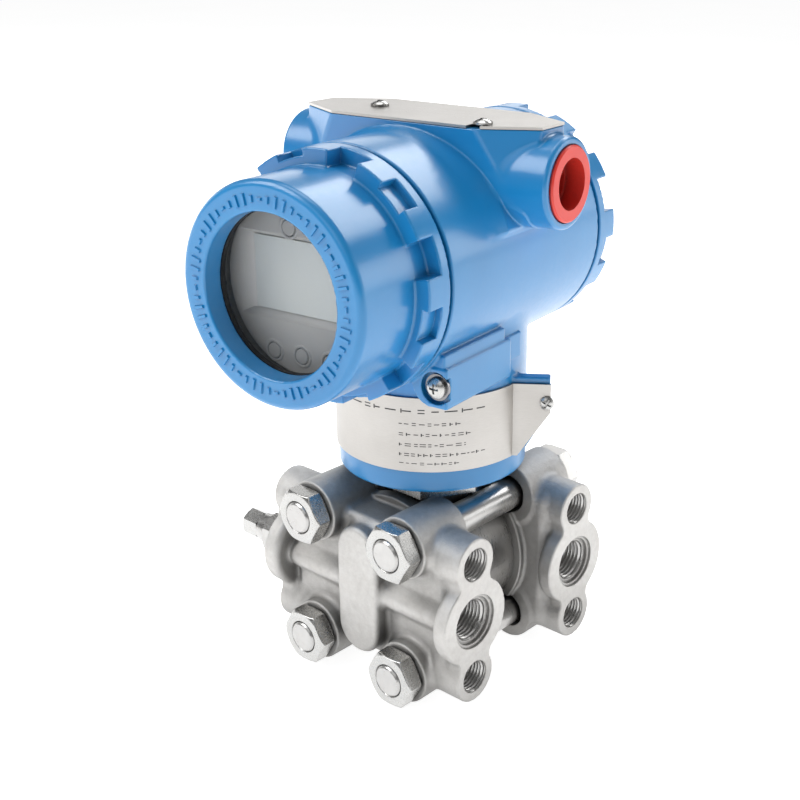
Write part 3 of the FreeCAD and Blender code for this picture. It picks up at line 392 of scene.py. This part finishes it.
def nut_field(x, y, z):
    v = -y
    a, b = np.abs(x) - 20.7, np.abs(z) - 23.1
    r = hyp(a, b)
    n = inter(hexagon(a, b, 17.5), span(v, 38.75, 45.0), 0.22)
    n = inter(n, 0.5 * (r - 8.55) + 0.866 * (v - 45.0), 0.25)
    n = inter(n, 0.5 * (r - 8.9) + 0.866 * (38.75 - v), 0.2)
    n = uni(n, inter(r - 8.35, span(v, 38.3, 39.4), 0.15), 0.1)
    n = sub(n, r - 5.62, 0.0)
    return sub(n, 0.7071 * ((r - 5.95) + (45.0 - v)), 0.05)


def bolt_field(x, y, z):
    a, b = np.abs(x) - 20.7, np.abs(z) - 23.1
    r = hyp(a, b)
    rod = inter(r - 5.5, span(y, -45.6, 40.0), 0.15)
    rod = inter(rod, 0.7071 * ((r - 4.75) + (-y - 45.6)), 0.15)
    head = inter(hexagon(a, b, 17.5), span(y, 38.7, 45.3), 0.25)
    head = inter(head, 0.5 * (r - 8.55) + 0.866 * (y - 45.3), 0.25)
    head = uni(head, inter(r - 8.35, span(y, 38.3, 39.4), 0.15), 0.1)
    head = sub(head, np.maximum(r - 5.2, 44.95 - y), 0.2)
    return uni(rod, head, 0.3)


# ------------------------------------------------------------------ display bezel
def bezel_field(x, y, z):
    zz = z - DRUM_Z
    rho = hyp(x, zz)
    u = -y
    b = inter(rho - 27.2, span(u, 53.0, 66.0), 0.5)
    b = uni(b, inter(rho - 28.9, span(u, 53.0, 58.4), 0.3), 0.0)
    well = np.maximum(np.maximum((np.abs(x) - 22.7 + (66.0 - u) * 2.6) / 2.79, (102.8 + (66.0 - u) * 1.03 - z) / 1.44),
                      np.maximum((z - 128.6 + (66.0 - u) * 0.64) / 1.19, 62.8 - u))
    b = sub(b, well, 0.25)
    for kx, kz in ((-10.6, 92.8), (0.0, 92.8), (10.6, 92.8), (-3.0, 131.0)):
        k = hyp(x - kx, z - kz)
        lip = hyp(np.maximum(np.abs(k - 3.05) - 0.15, 0), u - 66.0) - 0.28
        b = uni(b, lip, 0.15)
        b = sub(b, np.maximum(k - 2.62, 61.0 - u), 0.1)
    return b


# ------------------------------------------------------------------ materials
def node_mat(name):
    m = bpy.data.materials.new(name)
    m.use_nodes = True
    nt = m.node_tree
    bsdf = nt.nodes["Principled BSDF"]
    return m, nt, bsdf


def add(nt, kind, **kw):
    n = nt.nodes.new(kind)
    for k, v in kw.items():
        setattr(n, k, v)
    return n


def noise(nt, scale, detail=3.0, rough=0.55, stretch=None):
    tc = add(nt, "ShaderNodeTexCoord")
    src = tc.outputs["Object"]
    if stretch is not None:
        mp = add(nt, "ShaderNodeMapping")
        mp.inputs["Scale"].default_value = stretch
        nt.links.new(src, mp.inputs["Vector"])
        src = mp.outputs["Vector"]
    n = add(nt, "ShaderNodeTexNoise")
    n.inputs["Scale"].default_value = scale
    n.inputs["Detail"].default_value = detail
    n.inputs["Roughness"].default_value = rough
    nt.links.new(src, n.inputs["Vector"])
    return n.outputs["Fac"]


def ramp(nt, fac, stops):
    r = add(nt, "ShaderNodeValToRGB")
    e = r.color_ramp.elements
    while len(e) < len(stops):
        e.new(0.5)
    for el, (pos, col) in zip(e, stops):
        el.position = pos
        el.color = (col[0], col[1], col[2], 1) if isinstance(col, tuple) else (col, col, col, 1)
    nt.links.new(fac, r.inputs["Fac"])
    return r.outputs["Color"]


def spread(nt, fac, lo, hi, a=0.3, b=0.7):
    r = add(nt, "ShaderNodeMapRange")
    r.inputs["From Min"].default_value = a
    r.inputs["From Max"].default_value = b
    r.inputs["To Min"].default_value = lo
    r.inputs["To Max"].default_value = hi
    nt.links.new(fac, r.inputs["Value"])
    return r.outputs["Result"]


def mul(nt, a, b):
    m = add(nt, "ShaderNodeMath", operation="MULTIPLY")
    nt.links.new(a, m.inputs[0])
    if isinstance(b, float):
        m.inputs[1].default_value = b
    else:
        nt.links.new(b, m.inputs[1])
    return m.outputs[0]


def plus(nt, a, b):
    m = add(nt, "ShaderNodeMath", operation="ADD")
    nt.links.new(a, m.inputs[0])
    nt.links.new(b, m.inputs[1])
    return m.outputs[0]


def bump(nt, bsdf, height, strength, dist):
    b = add(nt, "ShaderNodeBump")
    b.inputs["Strength"].default_value = strength
    b.inputs["Distance"].default_value = dist
    nt.links.new(height, b.inputs["Height"])
    nt.links.new(b.outputs["Normal"], bsdf.inputs["Normal"])


def painted_crevice_shade(nt, dist, lo):
    """painted shade: dark in deep corners, 1 on open faces"""
    ao = add(nt, "ShaderNodeAmbientOcclusion")
    ao.samples = 6
    ao.inputs["Distance"].default_value = dist
    return spread(nt, ao.outputs["AO"], lo, 1.0, 0.25, 0.95)


def tint(nt, col, fac):
    """colour times a grey factor"""
    m = add(nt, "ShaderNodeVectorMath", operation="SCALE")
    nt.links.new(col, m.inputs[0])
    nt.links.new(fac, m.inputs["Scale"])
    return m.outputs[0]


def cast_steel():
    m, nt, b = node_mat("cast_steel_look")
    b.inputs["Metallic"].default_value = 0.82
    big = noise(nt, 45, 4, 0.6)
    mid = noise(nt, 420, 3, 0.6)
    fine = noise(nt, 1900, 2, 0.7)
    col = ramp(nt, plus(nt, mul(nt, big, 0.5), mul(nt, mid, 0.5)), [(0.3, (0.60, 0.582, 0.56)), (0.52, (0.71, 0.695, 0.672)), (0.72, (0.80, 0.79, 0.77))])
    # base colour times painted shade: a tight layer in corners and a wide one that darkens the gaps between the flanges
    nt.links.new(tint(nt, col, mul(nt, painted_crevice_shade(nt, 0.006, 0.6), painted_crevice_shade(nt, 0.035, 0.42))), b.inputs["Base Color"])
    nt.links.new(spread(nt, plus(nt, mul(nt, mid, 0.5), mul(nt, fine, 0.5)), 0.52, 0.68), b.inputs["Roughness"])
    h = plus(nt, mul(nt, fine, 0.55), mul(nt, mid, 0.6))
    bump(nt, b, h, 0.75, 0.00030)
    return m


def smooth_steel(name, base, r0, r1, stretch, scale, strength):
    m, nt, b = node_mat(name)
    b.inputs["Metallic"].default_value = 1.0
    grain = noise(nt, scale, 3, 0.6, stretch)
    big = noise(nt, 90, 3, 0.55)
    lo = tuple(c * 0.86 for c in base)
    hi = tuple(min(1.0, c * 1.06) for c in base)
    col = ramp(nt, plus(nt, mul(nt, grain, 0.55), mul(nt, big, 0.45)), [(0.3, lo), (0.7, hi)])
    # base colour times painted shade in corners
    nt.links.new(tint(nt, col, painted_crevice_shade(nt, 0.004, 0.5)), b.inputs["Base Color"])
    nt.links.new(spread(nt, plus(nt, mul(nt, grain, 0.6), mul(nt, big, 0.4)), r0, r1), b.inputs["Roughness"])
    bump(nt, b, grain, strength, 0.00008)
    return m


def blue_paint():
    m, nt, b = node_mat("blue_paint_look")
    big = noise(nt, 28, 3, 0.5)
    peel = noise(nt, 520, 2, 0.5)
    fine = noise(nt, 3800, 2, 0.5)
    col = ramp(nt, big, [(0.3, (0.006, 0.235, 0.570)), (0.7, (0.010, 0.275, 0.640))])
    # paint colour times painted shade in corners and recesses
    nt.links.new(tint(nt, col, painted_crevice_shade(nt, 0.004, 0.72)), b.inputs["Base Color"])
    nt.links.new(spread(nt, plus(nt, mul(nt, peel, 0.4), mul(nt, fine, 0.6)), 0.30, 0.42), b.inputs["Roughness"])
    b.inputs["Coat Weight"].default_value = 0.7
    b.inputs["Coat IOR"].default_value = 1.6
    b.inputs["Coat Roughness"].default_value = 0.2
    b.inputs["Specular IOR Level"].default_value = 0.5
    bump(nt, b, plus(nt, mul(nt, peel, 0.6), mul(nt, fine, 0.25)), 0.10, 0.00025)
    return m


def moulded(name, lo, hi, r0, r1, scale=2200, strength=0.15, coat=0.0, deep=0.003, dark=0.6):
    m, nt, b = node_mat(name)
    fine = noise(nt, scale, 2, 0.6)
    big = noise(nt, 70, 3, 0.5)
    col = ramp(nt, plus(nt, mul(nt, fine, 0.35), mul(nt, big, 0.65)), [(0.32, lo), (0.68, hi)])
    # base colour times painted shade in corners: deep sets its reach, dark its lowest factor
    nt.links.new(tint(nt, col, painted_crevice_shade(nt, deep, dark)), b.inputs["Base Color"])
    nt.links.new(spread(nt, plus(nt, mul(nt, fine, 0.5), mul(nt, big, 0.5)), r0, r1), b.inputs["Roughness"])
    if coat:
        b.inputs["Coat Weight"].default_value = coat
    bump(nt, b, fine, strength, 0.0001)
    return m


def plate_steel():
    m, nt, b = node_mat("plate_steel_look")
    b.inputs["Metallic"].default_value = 1.0
    grain = noise(nt, 700, 3, 0.65, (0.6, 0.6, 9.0))
    speck = noise(nt, 3200, 1, 0.5)
    big = noise(nt, 40, 3, 0.5)
    col = ramp(nt, plus(nt, mul(nt, grain, 0.4), mul(nt, big, 0.6)), [(0.32, (0.48, 0.46, 0.435)), (0.68, (0.59, 0.57, 0.545))])
    # base colour times painted shade in corners
    nt.links.new(tint(nt, col, painted_crevice_shade(nt, 0.003, 0.6)), b.inputs["Base Color"])
    nt.links.new(spread(nt, plus(nt, mul(nt, grain, 0.5), mul(nt, speck, 0.5)), 0.30, 0.44), b.inputs["Roughness"])
    bump(nt, b, grain, 0.10, 0.00006)
    return m


def window_glass():
    m, nt, b = node_mat("window_glass_look")
    smudge = noise(nt, 60, 3, 0.5)
    nt.links.new(ramp(nt, smudge, [(0.3, (0.30, 0.33, 0.34)), (0.7, (0.36, 0.39, 0.40))]), b.inputs["Base Color"])
    nt.links.new(spread(nt, smudge, 0.03, 0.07), b.inputs["Roughness"])
    b.inputs["IOR"].default_value = 1.5
    b.inputs["Alpha"].default_value = 0.10
    return m


def lcd():
    m, nt, b = node_mat("lcd_look")
    big = noise(nt, 16, 2, 0.4)
    fine = noise(nt, 5200, 1, 0.4)
    nt.links.new(ramp(nt, plus(nt, mul(nt, big, 0.8), mul(nt, fine, 0.2)), [(0.3, (0.66, 0.69, 0.67)), (0.7, (0.74, 0.77, 0.75))]), b.inputs["Base Color"])
    nt.links.new(spread(nt, fine, 0.24, 0.34), b.inputs["Roughness"])
    return m


def board():
    m, nt, b = node_mat("board_look")
    tc = add(nt, "ShaderNodeTexCoord")
    br = add(nt, "ShaderNodeTexBrick")
    br.inputs["Scale"].default_value = 260
    br.inputs["Color1"].default_value = (0.015, 0.13, 0.05, 1)
    br.inputs["Color2"].default_value = (0.02, 0.17, 0.07, 1)
    br.inputs["Mortar"].default_value = (0.05, 0.25, 0.11, 1)
    nt.links.new(tc.outputs["Object"], br.inputs["Vector"])
    nt.links.new(br.outputs["Color"], b.inputs["Base Color"])
    nt.links.new(spread(nt, noise(nt, 900), 0.3, 0.5), b.inputs["Roughness"])
    bump(nt, b, noise(nt, 900), 0.1, 0.0001)
    return m


LOOK = {
    "cast_steel": cast_steel(),
    "bright_steel": smooth_steel("bright_steel_look", (0.60, 0.595, 0.58), 0.20, 0.34, None, 1500, 0.12),
    "turned_steel": smooth_steel("turned_steel_look", (0.60, 0.59, 0.575), 0.24, 0.36, (1.0, 8.0, 1.0), 320, 0.12),
    "blue_paint": blue_paint(),
    "glass_clear": window_glass(),
    "black_rubber": moulded("black_rubber_look", (0.012, 0.012, 0.013), (0.03, 0.03, 0.03), 0.5, 0.7, 1500, 0.3),
    "bezel_grey": moulded("bezel_grey_look", (0.70, 0.682, 0.655), (0.78, 0.762, 0.735), 0.46, 0.58, 2600, 0.08),
    "lcd_grey": lcd(),
    "board_green": board(),
    "black_plastic": moulded("black_plastic_look", (0.016, 0.016, 0.018), (0.04, 0.04, 0.042), 0.35, 0.5),
    # red plastic: strong painted shade in its recesses (reach 0.012, down to a factor of 0.22)
    "red_plastic": moulded("red_plastic_look", (0.82, 0.042, 0.028), (0.90, 0.060, 0.042), 0.36, 0.48, 900, 0.12, 0.2, 0.012, 0.22),
    "plate_steel": plate_steel(),
    "brass_plain": smooth_steel("brass_look", (0.70, 0.52, 0.24), 0.22, 0.36, None, 1400, 0.1),
}
# bezel grey in another tone for the lower edge of the display recess: painted light standing in for the light on that
# edge
SILL_PAINTED_LIGHT = moulded("bezel_sill_painted_light_look", (0.62, 0.60, 0.575), (0.70, 0.68, 0.655), 0.4, 0.5, 2600, 0.05)
DARK_STEEL = smooth_steel("dark_steel_look", (0.30, 0.30, 0.31), 0.14, 0.26, None, 1500, 0.1)


def slot_of(material_name):
    for key in LOOK:
        if material_name.startswith(key):
            return key
    return None


for ob in NODES.values():
    for i, s in enumerate(ob.material_slots):
        key = slot_of(s.material.name) if s.material else None
        if key is None:
            raise RuntimeError("no look for " + ob.name + " " + str(s.material))
        s.material = LOOK[key]


# ------------------------------------------------------------------ pieces
def settle(ob, slot, body, *nodes):
    ob.data.materials.clear()
    ob.data.materials.append(LOOK[slot])
    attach(ob, body)
    if nodes:
        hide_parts(*nodes)
    return ob


settle(field_piece("housing_casting", housing_field, (-52.3, -45.0, 36.6), (52.3, 45.0, 156.6), 0.62, 190000, to_row_h, dir_h),
       "blue_paint", "turning_housing", "housing")
settle(field_piece("front_cover_casting", front_cover_field, (-39.6, -81.0, 74.3), (39.6, -33.6, 153.5), 0.58, 130000, to_row_h, dir_h),
       "blue_paint", "front_lid", "front_cover")
settle(field_piece("rear_cover_casting", rear_cover_field, (-39.6, 33.6, 74.3), (39.6, 59.6, 153.5), 0.62, 90000, to_row_h, dir_h),
       "blue_paint", "rear_lid", "rear_cover")
settle(field_piece("high_flange_casting", flange_field(5.9), (-44.2, -42.8, -34.8), (44.2, -11.4, 34.8), 0.52, 160000, to_row_f, dir_f),
       "cast_steel", "process", "high_side_flange")
settle(field_piece("low_flange_casting", flange_field(6.6), (-44.2, 11.4, -34.8), (44.2, 42.8, 34.8), 0.52, 140000, to_row_f, dir_f),
       "cast_steel", "process", "low_side_flange")
settle(field_piece("tie_nuts_detail", nut_field, (-31.6, -45.6, -33.0), (31.6, -37.9, 33.0), 0.4, 60000, to_row_f, dir_f),
       "bright_steel", "process", "tie_nuts")
settle(field_piece("tie_bolts_detail", bolt_field, (-31.6, -46.2, -33.0), (31.6, 45.9, 33.0), 0.55, 60000, to_row_f, dir_f),
       "turned_steel", "process", "tie_bolts")
settle(field_piece("display_frame", bezel_field, (-29.6, -66.8, 84.4), (29.6, -52.2, 143.4), 0.42, 60000, to_row_h, dir_h),
       "bezel_grey", "turning_housing", "display_bezel")


def plain_piece(name, verts, faces, slot, body, place, smooth=True, *nodes):
    me = raw_mesh(name, place(np.array(verts, float)).tolist(), faces)
    me.polygons.foreach_set("use_smooth", [smooth] * len(me.polygons))
    ob = bpy.data.objects.new(name, me)
    bpy.context.scene.collection.objects.link(ob)
    return settle(ob, slot, body, *nodes)


# threads cut in the ports
def thread(name, y, z, r_face, r_deep, depth, pitch, s0, s1):
    nt, per = 56, 8
    ns = int((s1 - s0) / pitch * per)
    verts, faces = [], []
    for i in range(ns + 1):
        s = s0 + (s1 - s0) * i / ns
        major = r_face + (r_deep - r_face) * (s - s0) / (s1 - s0)
        lead = min(1.0, (s - s0) / (pitch * 0.6))
        for j in range(nt):
            t = 2 * math.pi * j / nt
            ph = (s / pitch + j / nt) % 1.0
            tri = min(1.0, max(0.0, (1 - abs(2 * ph - 1) - 0.10) / 0.78))
            r = major - depth * tri * lead
            verts.append((BACK - s, y + r * math.cos(t), z + r * math.sin(t)))
    for i in range(ns):
        for j in range(nt):
            k = (j + 1) % nt
            faces.append((i * nt + j, i * nt + k, (i + 1) * nt + k, (i + 1) * nt + j))
    last = ns * nt
    tip = len(verts)
    verts.append((BACK - s1 - (2.0 if r_deep < 5.6 else 0.0), y, z))
    for j in range(nt):
        faces.append((last + j, last + (j + 1) % nt, tip))
    return plain_piece(name, verts, faces, "turned_steel", "process", to_row_f)


for side, label in ((-1, "high"), (1, "low")):
    thread("thread_%s_upper" % label, 27.0 * side, 20.65, 5.5, 5.5, 0.62, 1.27, 0.55, 12.6)
    thread("thread_%s_lower" % label, 27.0 * side, -20.65, 5.5, 5.5, 0.62, 1.27, 0.55, 12.6)
    thread("thread_%s_port" % label, 27.0 * side, 0.0, 7.1, 6.6, 0.80, 1.411, 2.15, 15.9)


# raised graduation round the sight glass
def marks():
    verts, faces = [], []

    def bar(r0_, r1_, a0, a1, high, n=1):
        base = len(verts)
        for i in range(n + 1):
            a = math.radians(a0 + (a1 - a0) * i / n)
            for rr, uu, g in ((r0_, 79.15, 0.0), (r0_ + 0.2, high, 0.2), (r1_ - 0.2, high, 0.2), (r1_, 79.15, 0.0)):
                ee = a + (math.copysign(g / rr, 0.5 - i / n) if i in (0, n) else 0.0)
                verts.append((rr * math.cos(ee), -uu, DRUM_Z + rr * math.sin(ee)))
        for i in range(n):
            p, q = base + 4 * i, base + 4 * (i + 1)
            for k in range(3):
                faces.append((p + k, p + k + 1, q + k + 1, q + k))
        faces.append((base, base + 3, base + 2, base + 1))
        e_ = base + 4 * n
        faces.append((e_, e_ + 1, e_ + 2, e_ + 3))

    for k in range(60):
        a = 6.0 * k + 3.0
        if k % 5 == 0:
            bar(27.5, 28.5, a - 1.9, a + 1.9, 79.8, 4)
        else:
            half = math.degrees(0.6 / 28.0)
            bar(26.2 if k % 5 in (2, 3) else 26.9, 29.8 if k % 5 in (2, 3) else 29.1, a - half, a + half, 79.8)
    return plain_piece("front_cover_marks", verts, faces, "blue_paint", "front_lid", to_row_h, False)


marks()


# etched dashes on the neck plate and on the top plate
def etched():
    rng = np.random.RandomState(7)
    verts, faces = [], []

    def dash(z0_, z1_, a0, a1):
        n = max(1, int((a1 - a0) / 2.0))
        base = len(verts)
        for i in range(n + 1):
            a = math.radians(a0 + (a1 - a0) * i / n)
            for zz_ in (z0_, z1_):
                verts.append((33.03 * math.cos(a), 33.03 * math.sin(a), zz_))
        for i in range(n):
            p = base + 2 * i
            faces.append((p, p + 2, p + 3, p + 1))

    rows = ((66.6, 1.0, -112, -22, 5.2, 3.0), (62.2, 0.7, -74, -38, 2.6, 1.5), (58.6, 0.7, -74, -32, 2.2, 1.4),
            (55.0, 0.7, -74, -36, 2.6, 1.5), (51.6, 0.7, -74, -24, 2.0, 1.3), (48.6, 0.6, -74, -40, 2.2, 1.4))
    for z_, tall, a0, a1, wide, gap in rows:
        a = a0
        while a < a1:
            w_ = wide * (0.55 + 0.9 * rng.rand())
            kind = rng.randint(3)
            if kind == 0:
                dash(z_ - tall * 0.2, z_ + tall * 0.2, a, min(a + w_, a1))
            elif kind == 1:
                dash(z_ + tall * 0.35, z_ + tall * 0.7, a, min(a + w_, a1))
                dash(z_ - tall * 0.7, z_ - tall * 0.35, a, min(a + w_, a1))
            else:
                dash(z_ - tall * 0.7, z_ + tall * 0.7, a, a + 0.7)
                dash(z_ - tall * 0.2, z_ + tall * 0.2, a + 0.9, min(a + w_, a1))
            a += w_ + gap * (0.7 + 0.6 * rng.rand())
    return plain_piece("neck_plate_marks", verts, faces, "black_plastic", "turning_housing", to_row_h)


etched()


def etched_top():
    rng = np.random.RandomState(3)
    verts, faces = [], []
    for row, y_ in enumerate((4.5, 0.0, -4.5)):
        x_ = -12.0
        while x_ < 20.0:
            w_ = 0.9 + 2.2 * rng.rand()
            base = len(verts)
            for p in ((x_, y_), (x_ + w_, y_), (x_ + w_, y_ + 0.35), (x_, y_ + 0.35)):
                verts.append((p[0], p[1], 156.105))
            faces.append((base, base + 1, base + 2, base + 3))
            x_ += w_ + 0.8 + 0.5 * rng.rand()
    return plain_piece("top_plate_marks", verts, faces, "turned_steel", "top_plate", to_row_h)


etched_top()


# painted light: a strip in a separately toned bezel grey on the lower edge of the display recess, standing in for the
# light on that edge
def sill():
    verts = []
    for x_ in (-22.4, -21.0, 21.0, 22.4):
        k = 1.0 if abs(x_) < 22 else 0.25
        verts += [(x_, -66.02, 102.75), (x_, -65.9, 103.0), (x_, -64.75, 103.0 + 1.5 * k), (x_, -64.6, 103.1 + 1.5 * k)]
    faces = []
    for i in range(3):
        for j in range(3):
            faces.append((4 * i + j, 4 * (i + 1) + j, 4 * (i + 1) + j + 1, 4 * i + j + 1))
    ob = plain_piece("display_sill_painted_light", verts, faces, "bezel_grey", "turning_housing", to_row_h)
    ob.data.materials.clear()
    ob.data.materials.append(SILL_PAINTED_LIGHT)


sill()
for s_ in NODES["earth_washer"].material_slots:
    s_.material = DARK_STEEL


# ------------------------------------------------------------------ camera, floor, light
CAM = {"x": 0.2338, "y": -0.3007, "z": 0.2167}
AZ, EL, ROLL = math.radians(40.206), math.radians(19.853), math.radians(0.499)
r0 = Vector((math.cos(AZ), math.sin(AZ), 0))
u0 = Vector((-math.sin(AZ) * math.sin(EL), math.cos(AZ) * math.sin(EL), math.cos(EL)))
dv = Vector((-math.sin(AZ) * math.cos(EL), math.cos(AZ) * math.cos(EL), -math.sin(EL)))
rv = math.cos(ROLL) * r0 + math.sin(ROLL) * u0
uv = -math.sin(ROLL) * r0 + math.cos(ROLL) * u0
eye = rv * 0.01804 + uv * 0.06493 - dv * 0.45779 - Vector((BACK * 0.001, 0, 0))
cam_data = bpy.data.cameras.new("camera")
cam_data.sensor_width = 36.0
cam_data.lens = 1275.7 / 800.0 * 36.0
cam_data.shift_x = -(483.66 - 400.0) / 800.0
cam_data.shift_y = (369.58 - 400.0) / 800.0
cam_data.clip_start = 0.01
cam_data.clip_end = 60
cam = bpy.data.objects.new("camera", cam_data)
cam.matrix_world = Matrix(((rv.x, uv.x, -dv.x, eye.x), (rv.y, uv.y, -dv.y, eye.y), (rv.z, uv.z, -dv.z, eye.z), (0, 0, 0, 1)))
bpy.context.scene.collection.objects.link(cam)
bpy.context.scene.camera = cam

fm, nt, b = node_mat("floor_look")
n = noise(nt, 6, 2, 0.5)
nt.links.new(ramp(nt, n, [(0.3, (0.68, 0.68, 0.68)), (0.7, (0.71, 0.71, 0.71))]), b.inputs["Base Color"])
b.inputs["Roughness"].default_value = 0.8
b.inputs["Emission Color"].default_value = (1, 1, 1, 1)
b.inputs["Emission Strength"].default_value = 0.83
b.inputs["Specular IOR Level"].default_value = 0.2
z0 = CAD_LO[2] - 0.0004
me = raw_mesh("floor", [(-9.0, -9.0, z0), (9.0, -9.0, z0), (9.0, 9.0, z0), (-9.0, 9.0, z0)], [(0, 1, 2, 3)])
floor = bpy.data.objects.new("floor", me)
me.materials.append(fm)
bpy.context.scene.collection.objects.link(floor)

w = bpy.data.worlds.new("studio")
w.use_nodes = True
wt = w.node_tree
bg = wt.nodes["Background"]
tc = wt.nodes.new("ShaderNodeTexCoord")
sx = wt.nodes.new("ShaderNodeSeparateXYZ")
cr = wt.nodes.new("ShaderNodeValToRGB")
el = cr.color_ramp.elements
el[0].position, el[0].color = 0.0, (0.34, 0.345, 0.35, 1)
el[1].position, el[1].color = 1.0, (1.0, 1.0, 1.0, 1)
e = el.new(0.35)
e.color = (0.62, 0.625, 0.63, 1)
wt.links.new(tc.outputs["Generated"], sx.inputs[0])
wt.links.new(sx.outputs["Z"], cr.inputs["Fac"])
wt.links.new(cr.outputs["Color"], bg.inputs["Color"])
bg.inputs["Strength"].default_value = 0.24
bpy.context.scene.world = w

TARGET = Vector((-0.043, 0.0, 0.07))
LEFT, FRONT, UP = -r0, Vector((math.sin(AZ), -math.cos(AZ), 0)), Vector((0, 0, 1))


def softbox(name, l, f, u, size, size_y, power, tone=(1, 1, 1)):
    d = bpy.data.lights.new(name, "AREA")
    d.shape = "RECTANGLE"
    d.size, d.size_y = size, size_y
    d.energy = power
    d.color = tone
    o = bpy.data.objects.new(name, d)
    o.location = TARGET + LEFT * l + FRONT * f + UP * u
    o.rotation_euler = (TARGET - o.location).to_track_quat("-Z", "Y").to_euler()
    bpy.context.scene.collection.objects.link(o)
    return o


softbox("key", 1.05, 0.25, 1.0, 0.9, 0.8, 10.5)
softbox("front", 0.5, 1.2, 0.75, 0.8, 0.7, 1.6)
softbox("fill", -1.3, 0.5, 0.35, 0.8, 0.9, 1.8)
softbox("top", 0.1, -0.3, 1.5, 0.8, 0.8, 5.0)


def rim(name, direction, dist, size, size_y, power):
    """a softbox behind the object, seen only as streaks along the cylinders"""
    d = bpy.data.lights.new(name, "AREA")
    d.shape = "RECTANGLE"
    d.size, d.size_y = size, size_y
    d.energy = power
    o = bpy.data.objects.new(name, d)
    o.location = TARGET + Vector((0, 0, 0.045)) + Vector(direction).normalized() * dist
    o.rotation_euler = (TARGET - o.location).to_track_quat("-Z", "Y").to_euler()
    bpy.context.scene.collection.objects.link(o)


rim("rim_left", (-0.68, 0.69, 0.24), 1.5, 0.9, 0.5, 1.9)
rim("rim_back", (-0.06, 0.72, 0.64), 1.4, 1.3, 0.36, 7.0)
rim("rim_right", (0.55, 0.80, 0.14), 1.5, 0.7, 0.45, 2.6)
rim("side_left", (-1.0, 0.08, 0.05), 1.2, 0.7, 0.5, 1.5)
bpy.context.scene.view_settings.view_transform = "Standard"
bpy.context.scene.view_settings.look = "None"
